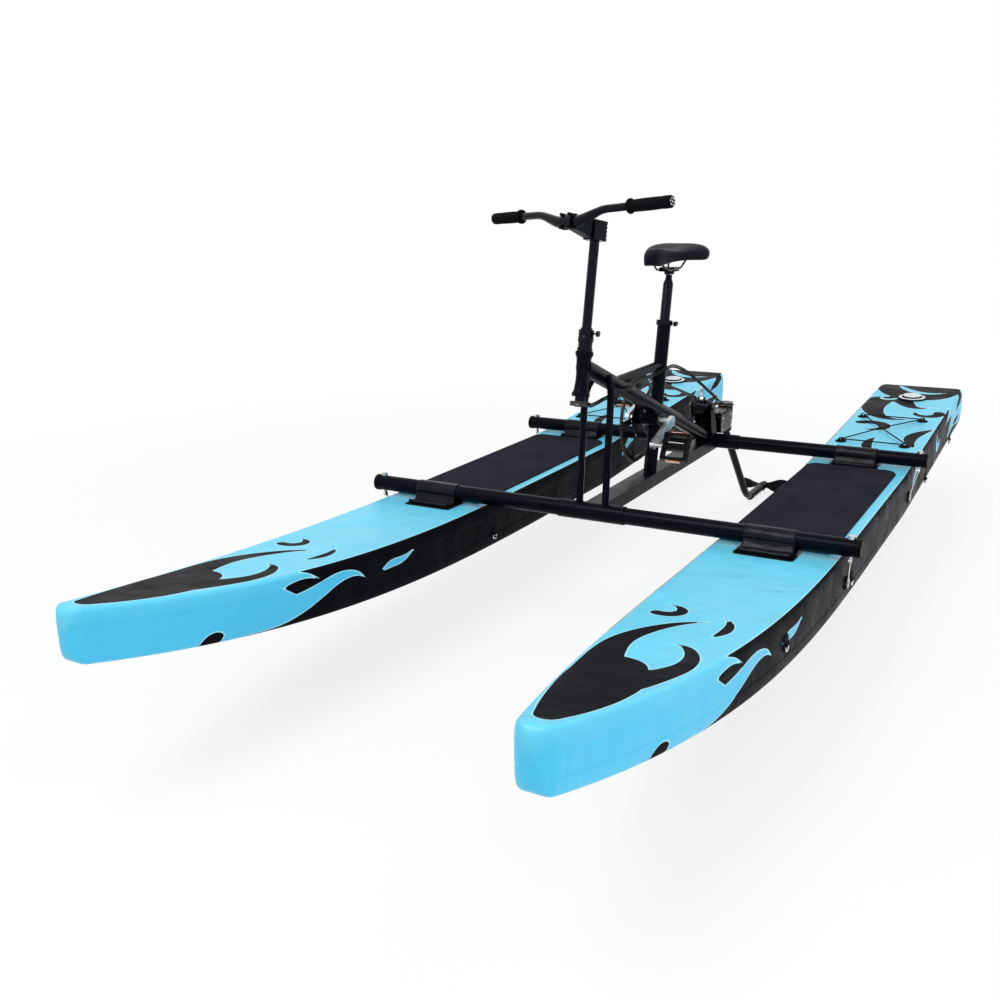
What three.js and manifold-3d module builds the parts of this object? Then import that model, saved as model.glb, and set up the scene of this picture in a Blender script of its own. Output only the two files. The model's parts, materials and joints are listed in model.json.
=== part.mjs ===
// Pontoon water bike: a welded frame on two inflatable pontoons, whose cranks drive a propeller leg by chain.
// Millimetres, +Z up. The bows point to -Y, so +X is the rider's left. The pontoons' flat undersides are at Z 0.
import * as THREE from "three";
import { mergeVertices } from "three/addons/utils/BufferGeometryUtils.js";
import Module from "manifold-3d";

const wasm = await Module();
wasm.setup();

const clearance = 0.3; // between pieces that touch, and round a shaft in its bore
const overrun = 20; // how far a cutting solid runs past its piece
const weldGap = 1e-4; // vertices closer than this are one vertex
const pinSides = 8;
const tubeSides = 16;
const wideSides = 16;
const left = 1;
const right = -1;

// Frame

const cross = { y: 559, z: 189, radius: 25.4, wall: 2.5, inner: 50, outer: 800, endWall: 3 };
const sleeve = { half: 110, wall: 2.8 };
const spine = { halfWidth: 32, halfHeight: 22, wall: 3 };
const spineTop = cross.z + spine.halfHeight;
const lean = Math.atan(1 / 5); // of the steering axis and of the seat tube
const mainTube = { radius: 25, wall: 2, slope: 0.3844, end: 525 };
const crank = { y: -100, z: 394, shellRadius: 21, shellHalf: 34, shellWall: 4, axleRadius: 8.4, lugHalf: 20 };
const topTube = { radius: 15, wall: 2, z: 566 };
const seatFoot = { y: -89, z: 206 };
const seatTube = { radius: 22.5, bore: 17.3, top: 516, lowerRadius: 22, lowerWall: 2.5 };
const gusset = { thickness: 6, length: 34, height: 56 };
const strut = { radius: 11, wall: 2, x: 43, rise: 211, shoulder: 341, elbow: 381, bendX: 38, endX: 20 };
const strutRun = { foot: 0, middle: 19, shoulder: 33, elbow: 44, end: 62, endRise: 410, fillet: 30 };

// Steering

const steering = { y: -646, z: 560, turn: 20 };
const headTube = { height: 130, ringRadius: 26.5, ringHeight: 9, waist: 19, shoulder: 22, bore: 16.8 };
const bearing = { outer: 22.2, height: 6.7, bore: 16.6 };
const steerer = { radius: 16.2, bore: 14.5, foot: 30, socketRadius: 23, socketTop: 176, seatRadius: 17.5, top: 198 };
const drum = { radius: 30, height: 14, groove: 3.2, above: 14 };
const collar = { height: 16, wall: 4.7, slit: 3, ear: 6, earReach: 13, skewer: 2.6 };
const post = { radius: 14.2, wall: 2.2, foot: 40, top: 480 };
const stem = { halfX: 22, halfY: 25, bottom: 446, top: 502, socket: 34, reach: 105, z: 482, armHalf: 15, groove: 1.4 };
const barClamp = { radius: 22, half: 22, gap: 1.2, bolt: 2.5, boltHead: 4.6, boltX: 15, boltZ: 18 };
const bar = {
  radius: 15.9, endRadius: 11.1, half: 345, rise: 33.5, sweep: 20, flat: 42, bend: 122, fillet: 17,
  bendSweep: 2.5, bendRise: 26.8,
};
const grip = { length: 135, radius: 16.4, flange: 21, flangeLength: 6, cap: 4 };

// Seat

const seatpost = { radius: 16.95, foot: 396, straight: 640, neckRadius: 11, neck: 655, top: 668 };
const saddle = { nose: 175, tail: 110, halfWidth: 105, crown: 952, base: 910, wall: 9 };
const rail = { radius: 3.5, z: 880, half: 22, noseHalf: 10, front: 118, rear: 78, level: 62, levelRear: 49.6 };
const clampBlock = { halfX: 27, halfY: 24, plate: 7, neck: 16.8 };

// Cranks and chain

const arm = { length: 170, inner: 70, outer: 84, bossRadius: 17, eyeRadius: 13, drop: 17 };
const pedal = { x: 155, halfX: 42.5, halfY: 45, halfZ: 14, rim: 9, spindle: 6, tilt: 60, reflector: 2.5, hub: 11 };
const pitch = 12.7;
const ringTeeth = 72;
const sprocketTeeth = 18;
const chainLinks = 134;
const chainLine = -43; // X of the chain's middle plane
const chainRun = { direction: -0.0987 }; // fall of the input shaft below the cranks over the run to it
const roller = { radius: 3.3, seat: 4.7, tip: 3.4, plate: 1.8, gap: 1.8, depth: 4.2, sides: 4 };
const cog = { thickness: 2.6, hub: 20, hubHalf: 9, rim: 14, spoke: 22, windows: 5, boltCircle: 52, small: 14 };

// Drive

const shaft = { radius: 8, right: -48, left: 36, nut: 12, nutWidth: 8 };
const cheek = { inner: 28, thickness: 5, head: 16, foot: 462, heel: 528, barRadius: 7, barY: 478, barZ: 285 };
const housing = { drumHalf: 26, drumRadius: 29, fin: 2.4, fins: 4, armHalf: 22, boxHalf: 42, boxFront: 540 };
const gearbox = { rear: 672, bottom: 222, top: 294, edge: 8, lid: 6, lidEdge: 5, boltRadius: 4, boltX: 30 };
const swivel = { y: 715, bossRadius: 30, bossBottom: 246, bossTop: 299.5, spindle: 12, headRadius: 28, headBottom: 196 };
const leg = { tube: 15, kneeY: 1082, kneeZ: -182, knee: 76, end: 1318, housing: 17.5, collar: 20, collarLength: 26 };
const propeller = { hub: 17, length: 49, shaft: 5, shaftLength: 42, radius: 125, chord: 70, thickness: 5, pitch: 330 };
const release = { y: -27, z: 37, pin: 3, half: 6.5, ear: 4, height: 54, width: 7, eye: 7 };

// Pontoons

const hull = { centre: 570, halfWidth: 184, thickness: 150, edge: 14, bulge: 2.5 };
const bow = { start: -259, length: 1780, rise: 141, risePower: 2.6, narrowing: 152, narrowPower: 3.2 };
const nose = { thinning: 15, round: 28 };
const stern = { start: 441, length: 1470, rise: 85, risePower: 1.05, corner: 52, edge: 22 };
const pad = { front: -530, rear: 491, left: 145, right: 172, thickness: 5, corner: 40, chamfer: 2, lift: 0.5 };
const valve = { inset: 270, flange: 63, ring: 59, cap: 40, flangeHeight: 3, ringHeight: 3, capHeight: 6 };
const valveY = stern.start + stern.length - valve.inset;
const bungee = { offset: -12, half: 120, front: 836, rear: 1246, cord: 2.5, patch: 22, patchHeight: 2, eye: 9, lift: 9 };
const wrap = { x: 555, half: 74, wall: 3.5, fore: 75, aft: 26, roll: 6, base: 3.5, cradle: 24 };
const wrapRear = { fore: 65, aft: 50 };
const tie = { inset: 25, pin: 5, knob: 11, knobHeight: 9, below: 38, eye: 8, strap: 2.6, patch: 22, patchHeight: 2 };
const tieX = cross.outer - tie.inset;
const ringMount = { y: 60, z: 65, ring: 12, wire: 3, loop: 4.6 };

// Steering cable: its route is chosen by hand, from the front drum along the tubes to the rear drum
const cableRadius = 3;
const cableRoute = [
  [33.4, -650, 540], [25, -590, 536], [22, -526, 540], [30, -450, 541], [31, -400, 543], [30, -340, 546],
  [22, -290, 549], [8, -230, 548], [8, -84, 548], [14, -70, 551], [26, -25, 560], [28, 10, 562], [28, 49, 558],
  [28, 133, 534], [28, 234, 495], [28, 328, 452], [28, 415, 413], [28, 492, 378], [28, 532, 356],
];
const cableLeft = [[28, 532, 356], [31, 599, 329], [33, 655, 308], [33.4, 715, 306]];
const cableRight = [[28, 532, 356], [0, 590, 335], [-28, 650, 312], [-33.4, 715, 306]];

// Finishes

function finish(color, roughness, metalness = 0) {
  return new THREE.MeshStandardMaterial({ color, roughness, metalness });
}
const blackPaint = finish(0x17181b, 0.28, 0.3);
const blackAlloy = finish(0x232428, 0.42, 0.7);
const brightSteel = finish(0xc9ccd0, 0.2, 1);
const silverAlloy = finish(0xa9acb0, 0.35, 0.9);
const darkSteel = finish(0x4a4c50, 0.4, 0.9);
const pontoonBlue = finish(0x5cc8e8, 0.5);
const padGrey = finish(0x34333b, 0.9);
const blackRubber = finish(0x1b1b1d, 0.8);
const blackVinyl = finish(0x151517, 0.22);
const blackPlastic = finish(0x1d1e20, 0.55);

const bike = new THREE.Group();

// Solids

// A closed geometry, or a solid already made, as a solid that faces out.
function asSolid(shape) {
  if (!shape.isBufferGeometry) return shape;
  const bare = new THREE.BufferGeometry();
  bare.setAttribute("position", shape.getAttribute("position"));
  bare.setIndex(shape.index);
  const merged = mergeVertices(bare, weldGap);
  const index = merged.index.array;
  const triVerts = [];
  for (let i = 0; i < index.length; i += 3) {
    const [a, b, c] = index.slice(i, i + 3);
    if (a !== b && b !== c && c !== a) triVerts.push(a, b, c);
  }
  const vertProperties = merged.getAttribute("position").array;
  const made = (order) =>
    new wasm.Manifold(new wasm.Mesh({ numProp: 3, vertProperties, triVerts: new Uint32Array(order) }));
  const body = made(triVerts);
  return body.volume() > 0 ? body : made(triVerts.reverse());
}

function join(first, ...others) {
  return others.reduce((body, other) => body.add(asSolid(other)), asSolid(first));
}

function cut(first, ...others) {
  return others.reduce((body, other) => body.subtract(asSolid(other)), asSolid(first));
}

function asGeometry(shape) {
  const mesh = asSolid(shape).getMesh();
  const geometry = new THREE.BufferGeometry();
  geometry.setAttribute("position", new THREE.BufferAttribute(new Float32Array(mesh.vertProperties), mesh.numProp));
  geometry.setIndex(new THREE.BufferAttribute(new Uint32Array(mesh.triVerts), 1));
  geometry.computeVertexNormals();
  return geometry;
}

function piece(name, shape, material, carrier = bike) {
  const mesh = new THREE.Mesh(asGeometry(shape), material);
  mesh.name = name;
  carrier.add(mesh);
  return mesh;
}

// Shapes

// Lays a shape that stands on the origin along +Z from one point towards another.
function between(geometry, from, to) {
  const start = new THREE.Vector3(...from);
  const along = new THREE.Vector3(...to).sub(start).normalize();
  const turn = new THREE.Quaternion().setFromUnitVectors(new THREE.Vector3(0, 0, 1), along);
  return geometry.applyQuaternion(turn).translate(...from);
}

function distance(from, to) {
  return new THREE.Vector3(...from).distanceTo(new THREE.Vector3(...to));
}

// Turns a profile of [radius, height] about Z. It starts and ends on the axis, or is closed here.
function turned(profile, sides = tubeSides) {
  const points = profile.map(([radius, height]) => new THREE.Vector2(radius, height));
  if (profile[0][0] > 0) points.push(points[0].clone());
  return new THREE.LatheGeometry(points, sides).rotateX(Math.PI / 2);
}

function rod(from, to, radius, sides = tubeSides) {
  const length = distance(from, to);
  return between(turned([[0, 0], [radius, 0], [radius, length], [0, length]], sides), from, to);
}

function pipe(from, to, outer, inner, sides = tubeSides) {
  const length = distance(from, to);
  const profile = [[inner, 0], [outer, 0], [outer, length], [inner, length]];
  return between(turned(profile, sides), from, to);
}

function block(low, high) {
  const size = high.map((value, axis) => value - low[axis]);
  return new THREE.BoxGeometry(...size).translate(...low.map((value, axis) => value + size[axis] / 2));
}

// An outline of [y, z] carried along X.
function slab(outline, from, to) {
  const shape = Array.isArray(outline) ? new THREE.Shape(outline.map(([y, z]) => new THREE.Vector2(y, z))) : outline;
  const toYzx = new THREE.Matrix4().makeBasis(
    new THREE.Vector3(0, 1, 0),
    new THREE.Vector3(0, 0, 1),
    new THREE.Vector3(1, 0, 0),
  );
  const geometry = new THREE.ExtrudeGeometry(shape, { depth: to - from, bevelEnabled: false, curveSegments: 6 });
  return geometry.applyMatrix4(toYzx).translate(from, 0, 0);
}

// An outline of [x, y] carried along Z.
function plate(outline, from, to) {
  const shape = new THREE.Shape(outline.map(([x, y]) => new THREE.Vector2(x, y)));
  const geometry = new THREE.ExtrudeGeometry(shape, { depth: to - from, bevelEnabled: false });
  return geometry.translate(0, 0, from);
}

function arc(centre, radius, from, to, steps) {
  return Array.from({ length: steps + 1 }, (_, i) => {
    const angle = THREE.MathUtils.degToRad(from + ((to - from) * i) / steps);
    return [centre[0] + radius * Math.cos(angle), centre[1] + radius * Math.sin(angle)];
  });
}

// A skin over rings of equally many points, closed by a fan at each end, or joined end to end.
function loft(rings, closed = false) {
  const count = rings[0].length;
  const positions = rings.flat(2);
  const index = [];
  const spans = closed ? rings.length : rings.length - 1;
  for (let i = 0; i < spans; i += 1) {
    for (let j = 0; j < count; j += 1) {
      const next = ((i + 1) % rings.length) * count;
      const beside = (j + 1) % count;
      const [a, b, c, d] = [i * count + j, i * count + beside, next + j, next + beside];
      index.push(a, b, d, a, d, c);
    }
  }
  if (!closed) {
    [rings[0], rings.at(-1)].forEach((ring, end) => {
      const middle = positions.length / 3;
      const first = end ? (rings.length - 1) * count : 0;
      positions.push(...[0, 1, 2].map((axis) => ring.reduce((sum, point) => sum + point[axis], 0) / count));
      for (let j = 0; j < count; j += 1) {
        const beside = (j + 1) % count;
        index.push(middle, first + (end ? j : beside), first + (end ? beside : j));
      }
    });
  }
  const geometry = new THREE.BufferGeometry();
  geometry.setAttribute("position", new THREE.Float32BufferAttribute(positions, 3));
  return geometry.setIndex(index);
}

// A round section carried along points. An upright keeps the rings of a near-level loop from twisting.
function sweep(points, radius, sides = pinSides, closed = false, upright = null) {
  const path = points.map((point) => new THREE.Vector3(...point));
  const at = (i) => path[closed ? (i + path.length) % path.length : THREE.MathUtils.clamp(i, 0, path.length - 1)];
  const across = new THREE.Vector3();
  const rings = path.map((centre, i) => {
    const ahead = at(i + 1).clone().sub(centre).normalize();
    const behind = centre.clone().sub(at(i - 1)).normalize();
    const along = ahead.add(behind).normalize();
    if (upright) across.set(...upright);
    else if (i === 0) across.set(...(Math.abs(along.x) < Math.SQRT1_2 ? [1, 0, 0] : [0, 0, 1]));
    across.addScaledVector(along, -across.dot(along)).normalize();
    const side = along.clone().cross(across);
    return Array.from({ length: sides }, (_, j) => {
      const angle = (2 * Math.PI * j) / sides;
      const reach = across.clone().multiplyScalar(radius * Math.cos(angle));
      return centre.clone().add(reach).addScaledVector(side, radius * Math.sin(angle)).toArray();
    });
  });
  return loft(rings, closed);
}

// A polyline with its corners rounded by curves that start a given length from each corner.
function rounded(points, fillet, steps = 5) {
  const path = points.map((point) => new THREE.Vector3(...point));
  const out = [points[0]];
  path.slice(1, -1).forEach((corner, i) => {
    const towards = (other) => {
      const way = other.clone().sub(corner);
      return corner.clone().addScaledVector(way.clone().normalize(), Math.min(fillet, way.length() / 2));
    };
    const curve = new THREE.QuadraticBezierCurve3(towards(path[i]), corner, towards(path[i + 2]));
    out.push(...curve.getPoints(steps).map((point) => point.toArray()));
  });
  out.push(points.at(-1));
  return out.filter((point, i) => i === 0 || distance(point, out[i - 1]) > clearance);
}

// Points along the steering axis and the seat tube, by distance from their feet
function steerPoint(along) {
  return [0, steering.y + along * Math.sin(lean), steering.z + along * Math.cos(lean)];
}

function seatPoint(along) {
  return [0, seatFoot.y + along * Math.sin(lean), seatFoot.z + along * Math.cos(lean)];
}

// Distance along the seat tube at which its axis meets the main tube's
const seatMeet =
  (cross.z - seatFoot.z + mainTube.slope * (cross.y - seatFoot.y)) / (Math.cos(lean) + mainTube.slope * Math.sin(lean));

function mainTubePoint(y) {
  return [0, y, cross.z + mainTube.slope * (cross.y - y)];
}

// Pontoons

const bowShares = [0.08, 0.18, 0.3, 0.42, 0.54, 0.66, 0.77, 0.87, 0.95];
const sternShares = [0, 0.1, 0.25, 0.45, 0.65, 0.85];
const roundShares = [0, 0.25, 0.5, 0.75, 1]; // of a quarter turn

function hullAt(y) {
  const forward = Math.max(0, bow.start - y) / bow.length;
  const aft = Math.max(0, y - stern.start) / stern.length;
  const rise = bow.rise * forward ** bow.risePower + stern.rise * aft ** stern.risePower;
  return {
    deck: hull.thickness + rise,
    keel: rise + nose.thinning * forward,
    half: hull.halfWidth - bow.narrowing * forward ** bow.narrowPower,
  };
}

const bowTip = bow.start - bow.length;
const sternEnd = stern.start + stern.length;
const hullStations = [
  ...roundShares.map((share) => {
    const angle = ((1 - share) * Math.PI) / 2;
    const inset = nose.round * (1 - Math.cos(angle));
    return { y: bowTip + nose.round * (1 - Math.sin(angle)), side: inset, face: inset };
  }),
  ...bowShares.toReversed().map((share) => ({ y: bow.start - share * bow.length, side: 0, face: 0 })),
  { y: bow.start, side: 0, face: 0 },
  ...sternShares.map((share) => ({ y: stern.start + share * stern.length, side: 0, face: 0 })),
  ...roundShares.map((share) => {
    const angle = (share * Math.PI) / 2;
    const y = sternEnd - stern.corner * (1 - Math.sin(angle));
    const into = Math.max(0, y - (sternEnd - stern.edge)) / stern.edge;
    return {
      y,
      side: stern.corner * (1 - Math.cos(angle)),
      face: stern.edge * (1 - Math.sqrt(1 - Math.min(1, into) ** 2)),
    };
  }),
].filter((station, i, all) => i === 0 || station.y - all[i - 1].y > clearance);

const edgeShare = 0.9; // most of a narrow section's half width that its edge radius takes
const flankShares = [0.5]; // of the flank's height, where it bulges

function hullRing({ y, side, face }) {
  const at = hullAt(y);
  const half = at.half - side;
  const top = at.deck - face;
  const bottom = at.keel + face;
  const edge = Math.min(hull.edge, half * edgeShare);
  const flank = top - bottom - 2 * edge;
  const outer = [
    ...arc([half - edge, top - edge], edge, 90, 0, 2),
    ...flankShares.map((share) => [half + hull.bulge * Math.sin(share * Math.PI), top - edge - flank * share]),
    ...arc([half - edge, bottom + edge], edge, 0, -90, 2),
  ];
  return [...outer, ...outer.toReversed().map(([x, z]) => [-x, z])].map(([x, z]) => [x, y, z]);
}

// Height of the deck at y, on the straight lines between the stations
function deckAt(y) {
  const i = THREE.MathUtils.clamp(hullStations.findIndex((station) => station.y >= y), 1, hullStations.length - 1);
  const [from, to] = [hullStations[i - 1], hullStations[i]];
  const share = (y - from.y) / (to.y - from.y);
  return THREE.MathUtils.lerp(hullAt(from.y).deck - from.face, hullAt(to.y).deck - to.face, share);
}

function hullSide(y) {
  return hullAt(y).half + hull.bulge;
}

function padShape() {
  const rear = pad.rear - pad.corner;
  const inside = hullStations.map((station) => station.y).filter((y) => y > pad.front && y < rear);
  const stations = [pad.front, ...inside].map((y) => ({ y, inset: 0 }));
  roundShares.forEach((share) => {
    const angle = (share * Math.PI) / 2;
    stations.push({ y: rear + pad.corner * Math.sin(angle), inset: pad.corner * (1 - Math.cos(angle)) });
  });
  return loft(
    stations.map(({ y, inset }) => {
      const low = deckAt(y) + pad.lift;
      const high = low + pad.thickness;
      const [from, to] = [inset - pad.right, pad.left - inset];
      return [
        [from, y, low],
        [from, y, high - pad.chamfer],
        [from + pad.chamfer, y, high],
        [to - pad.chamfer, y, high],
        [to, y, high - pad.chamfer],
        [to, y, low],
      ];
    }),
  );
}

function valveShape() {
  const ringTop = valve.flangeHeight + valve.ringHeight;
  const capTop = ringTop + valve.capHeight;
  const grip = block([-valve.cap, -valve.ringHeight, ringTop], [valve.cap, valve.ringHeight, capTop + valve.ringHeight]);
  return join(
    turned([[0, 0], [valve.flange, 0], [valve.flange, valve.flangeHeight], [valve.ring, valve.flangeHeight],
      [valve.ring - valve.ringHeight, ringTop], [valve.cap, ringTop], [valve.cap, capTop], [0, capTop]], wideSides),
    grip,
  );
}

// One cord that crosses itself over the deck, held by an eye on a round patch at each corner
function bungeeShape() {
  const corners = [[1, bungee.front], [-1, bungee.rear], [1, bungee.rear], [-1, bungee.front]];
  const path = corners.map(([side, y]) => [bungee.offset + side * bungee.half, y, deckAt(y) + bungee.lift]);
  const middleY = (bungee.front + bungee.rear) / 2;
  const under = [bungee.offset, middleY, deckAt(middleY) + bungee.lift];
  const over = [bungee.offset, middleY, deckAt(middleY) + bungee.lift + 2 * bungee.cord + clearance];
  const loop = [path[0], under, path[1], path[2], over, path[3]];
  const shapes = [sweep(closedRound(loop, bungee.eye * 2), bungee.cord, 5, true, [0, 0, 1])];
  path.forEach(([x, y]) => {
    const foot = [x, y, deckAt(y) + pad.lift];
    const slope = Math.atan2(deckAt(y + bungee.patch) - deckAt(y - bungee.patch), 2 * bungee.patch);
    const patch = turned([[0, 0], [bungee.patch, 0], [bungee.patch, bungee.patchHeight], [0, bungee.patchHeight]], pinSides);
    const knot = turned([[0, 0], [bungee.eye, 0], [bungee.eye, bungee.lift + bungee.cord], [0, bungee.lift + bungee.cord]], 6);
    shapes.push(patch.rotateX(slope).translate(...foot), knot.rotateX(slope).translate(...foot));
  });
  return join(...shapes);
}

// A closed polyline with rounded corners
function closedRound(points, fillet) {
  const wrapped = [...points, points[0], points[1]];
  const out = rounded(wrapped, fillet, 2).slice(1, -1);
  return out.filter((point, i) => distance(point, out.at(i - 1)) > clearance);
}

function wrapShape(y, reach) {
  const fore = y - reach.fore;
  const aft = y + reach.aft;
  const low = (at) => deckAt(at) + pad.lift;
  const outer = cross.radius + clearance + wrap.wall;
  const base = [[fore, low(fore)], [aft, low(aft)], [aft, low(aft) + wrap.base], [fore, low(fore) + wrap.base]];
  const cradle = [
    [y - wrap.cradle, low(y - wrap.cradle) + clearance],
    [y + wrap.cradle, low(y + wrap.cradle) + clearance],
    [y + outer, cross.z],
    [y - outer, cross.z],
  ];
  const rollZ = low(fore + wrap.roll) + wrap.roll;
  return cut(
    join(
      slab(base, -wrap.half, wrap.half),
      slab(cradle, -wrap.half, wrap.half),
      rod([-wrap.half, y, cross.z], [wrap.half, y, cross.z], outer, wideSides),
      rod([-wrap.half, fore + wrap.roll, rollZ], [wrap.half, fore + wrap.roll, rollZ], wrap.roll, pinSides),
    ),
    rod([-wrap.half - overrun, y, cross.z], [wrap.half + overrun, y, cross.z], cross.radius + clearance, wideSides),
  );
}

// A pin through the bar end, and under it a hook and strap to a D-ring on the pontoon's outer side
function tieShape(y, side) {
  const towards = y < 0 ? 1 : -1;
  const pinTop = cross.z + cross.radius + clearance;
  const eyeZ = cross.z - tie.below;
  const ringY = y + towards * ringMount.y;
  const wallX = hull.centre + hullSide(ringY) + clearance;
  const patch = rod([side * wallX, ringY, ringMount.z], [side * (wallX + tie.patchHeight), ringY, ringMount.z], tie.patch, pinSides);
  const ringX = wallX + tie.patchHeight + ringMount.wire + clearance;
  const ringTop = ringMount.z + ringMount.ring;
  const ringPath = arc([ringY, ringMount.z], ringMount.ring, -90, 90, 4).map(([at, z]) => [side * ringX, at, z]);
  const flatY = ringY - ringMount.ring / 2;
  ringPath.unshift([side * ringX, flatY, ringMount.z - ringMount.ring]);
  ringPath.push([side * ringX, flatY, ringTop]);
  return join(
    rod([side * tieX, y, eyeZ], [side * tieX, y, pinTop + tie.knobHeight / 2], tie.pin, pinSides),
    rod([side * tieX, y, pinTop], [side * tieX, y, pinTop + tie.knobHeight], tie.knob, pinSides),
    rod([side * tieX - tie.eye / 2, y, eyeZ], [side * tieX + tie.eye / 2, y, eyeZ], tie.eye, pinSides),
    sweep([[side * tieX, y, eyeZ], [side * ringX, ringY, ringTop]], tie.strap, 4),
    patch,
    sweep(ringPath, ringMount.wire, 5, true, [1, 0, 0]),
    rod([side * (wallX + tie.patchHeight / 2), flatY, ringMount.z], [side * (ringX + ringMount.loop), flatY, ringMount.z],
      ringMount.loop, pinSides),
  );
}

function makePontoons() {
  for (const [side, name] of [[left, "left"], [right, "right"]]) {
    const float = new THREE.Group();
    float.position.x = side * hull.centre;
    bike.add(float);
    piece(`pontoon_${name}`, loft(hullStations.map(hullRing)), pontoonBlue, float);
    piece(`deck_pad_${name}`, padShape(), padGrey, float);
    const inflation = piece(`valve_${name}`, valveShape(), blackPlastic, float);
    const slope = (deckAt(valveY + valve.flange) - deckAt(valveY - valve.flange)) / (2 * valve.flange);
    inflation.position.set(0, valveY, deckAt(valveY) + pad.lift);
    inflation.rotation.x = Math.atan(slope);
    piece(`bungee_${name}`, bungeeShape(), blackRubber, float);
    for (const [end, y, reach] of [["front", -cross.y, wrap], ["rear", cross.y, wrapRear]]) {
      piece(`${end}_${name}_clamp`, wrapShape(y, reach), blackVinyl).position.x = side * wrap.x;
      piece(`${end}_${name}_tie_down`, tieShape(y, side), brightSteel);
    }
  }
}

// Frame

function crossTube(y, side) {
  const bore = cross.radius - cross.wall;
  const at = (x) => [side * x, y, cross.z];
  return cut(
    rod(at(cross.inner), at(cross.outer), cross.radius, wideSides),
    rod(at(cross.inner - overrun), at(cross.outer - cross.endWall), bore, wideSides),
    rod([side * tieX, y, cross.z - cross.radius - overrun], [side * tieX, y, cross.z + cross.radius + overrun],
      tie.pin + clearance, pinSides),
  );
}

function sleeveCut(y, extra = clearance) {
  const reach = sleeve.half + overrun;
  return rod([-reach, y, cross.z], [reach, y, cross.z], cross.radius + clearance + sleeve.wall + extra, wideSides);
}

function mainTubeCut() {
  return rod(mainTubePoint(steering.y - overrun), mainTubePoint(cross.y), mainTube.radius + clearance, wideSides);
}

function spineShape() {
  const { halfWidth, halfHeight, wall } = spine;
  const lower = seatTube.lowerRadius;
  const beam = block([-halfWidth, -cross.y, cross.z - halfHeight], [halfWidth, cross.y, spineTop]);
  const hollow = block(
    [wall - halfWidth, -cross.y - overrun, cross.z - halfHeight + wall],
    [halfWidth - wall, cross.y + overrun, spineTop - wall],
  );
  const bore = lower - seatTube.lowerWall;
  const tube = cut(
    rod(seatPoint(0), seatPoint(seatMeet), lower),
    rod(seatPoint(0), seatPoint(seatMeet + overrun), bore),
    block([-lower - overrun, seatFoot.y - lower * 2, cross.z - halfHeight], [lower + overrun, seatFoot.y + lower * 2, spineTop - wall / 2]),
    mainTubeCut(),
  );
  const gussets = [-1, 1].map((way) => {
    const root = seatFoot.y + way * (lower - spine.wall);
    const outline = [[root, spineTop - wall / 2], [root + way * gusset.length, spineTop - wall / 2], [root + way * wall, spineTop + gusset.height]];
    return slab(way > 0 ? outline : outline.toReversed(), -gusset.thickness / 2, gusset.thickness / 2);
  });
  const inside = rod(seatPoint(0), seatPoint(seatMeet), bore);
  return cut(join(cut(beam, hollow), tube, cut(join(...gussets), inside)), sleeveCut(-cross.y), sleeveCut(cross.y));
}

// Head tube profile, wider at its two rings, grown by a given gap
function headProfile(grow = 0) {
  const { height, ringRadius, ringHeight, waist, shoulder } = headTube;
  return [
    [ringRadius + grow, 0], [ringRadius + grow, ringHeight], [shoulder + grow, ringHeight * 2],
    [waist + grow, height / 2 - ringHeight * 2], [waist + grow, height / 2], [shoulder + grow, height - ringHeight * 2],
    [ringRadius + grow, height - ringHeight], [ringRadius + grow, height],
  ];
}

function headCut() {
  const profile = [[0, 0], ...headProfile(clearance), [0, headTube.height]];
  return turned(profile, wideSides).rotateX(-lean).translate(0, steering.y, steering.z);
}

function mainTubeShape() {
  const front = mainTubePoint(steering.y + headTube.waist);
  const behind = mainTubePoint(cross.y);
  const bore = mainTube.radius - mainTube.wall;
  const tube = cut(
    rod(front, behind, mainTube.radius, wideSides),
    rod(mainTubePoint(steering.y - overrun), mainTubePoint(cross.y + overrun), bore, wideSides),
  );
  const wide = mainTube.radius + overrun;
  const shellAt = (x) => [x, crank.y, crank.z];
  const shell = rod(shellAt(-crank.shellHalf), shellAt(crank.shellHalf), crank.shellRadius, wideSides);
  const lugTop = mainTubePoint(crank.y)[2] - bore / Math.cos(Math.atan(mainTube.slope));
  const lug = block([-crank.lugHalf, crank.y - crank.lugHalf, crank.z], [crank.lugHalf, crank.y + crank.lugHalf, lugTop]);
  const inner = crank.shellHalf - crank.shellWall;
  return cut(
    join(tube, shell, cut(lug, rod(mainTubePoint(-cross.y), mainTubePoint(cross.y), bore, wideSides))),
    rod(shellAt(-inner), shellAt(inner), crank.shellRadius - crank.shellWall),
    rod(shellAt(-crank.shellHalf - overrun), shellAt(crank.shellHalf + overrun), crank.axleRadius + clearance),
    headCut(),
    block([-wide, mainTube.end, cross.z - wide], [wide, cross.y + wide, spineTop + wide * 2]),
    block([-wide, 0, cross.z - wide * 2], [wide, cross.y + wide, spineTop + clearance]),
  );
}

function seatTubeShape() {
  const foot = seatPoint(seatMeet);
  const top = seatPoint(seatTube.top);
  const over = seatPoint(seatTube.top + overrun);
  const topAt = (y) => [0, y, topTube.z];
  const topStart = cross.y - (topTube.z - cross.z) / mainTube.slope;
  const joinY = seatPoint((topTube.z - seatFoot.z) / Math.cos(lean))[1];
  const level = cut(
    rod(topAt(topStart), topAt(joinY), topTube.radius),
    rod(topAt(topStart - overrun), topAt(joinY), topTube.radius - topTube.wall),
  );
  const hollow = cut(level, rod(foot, top, seatTube.radius));
  return cut(
    join(hollow, rod(foot, top, seatTube.radius, wideSides)),
    rod(foot, over, seatTube.bore),
    mainTubeCut(),
  );
}

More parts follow.
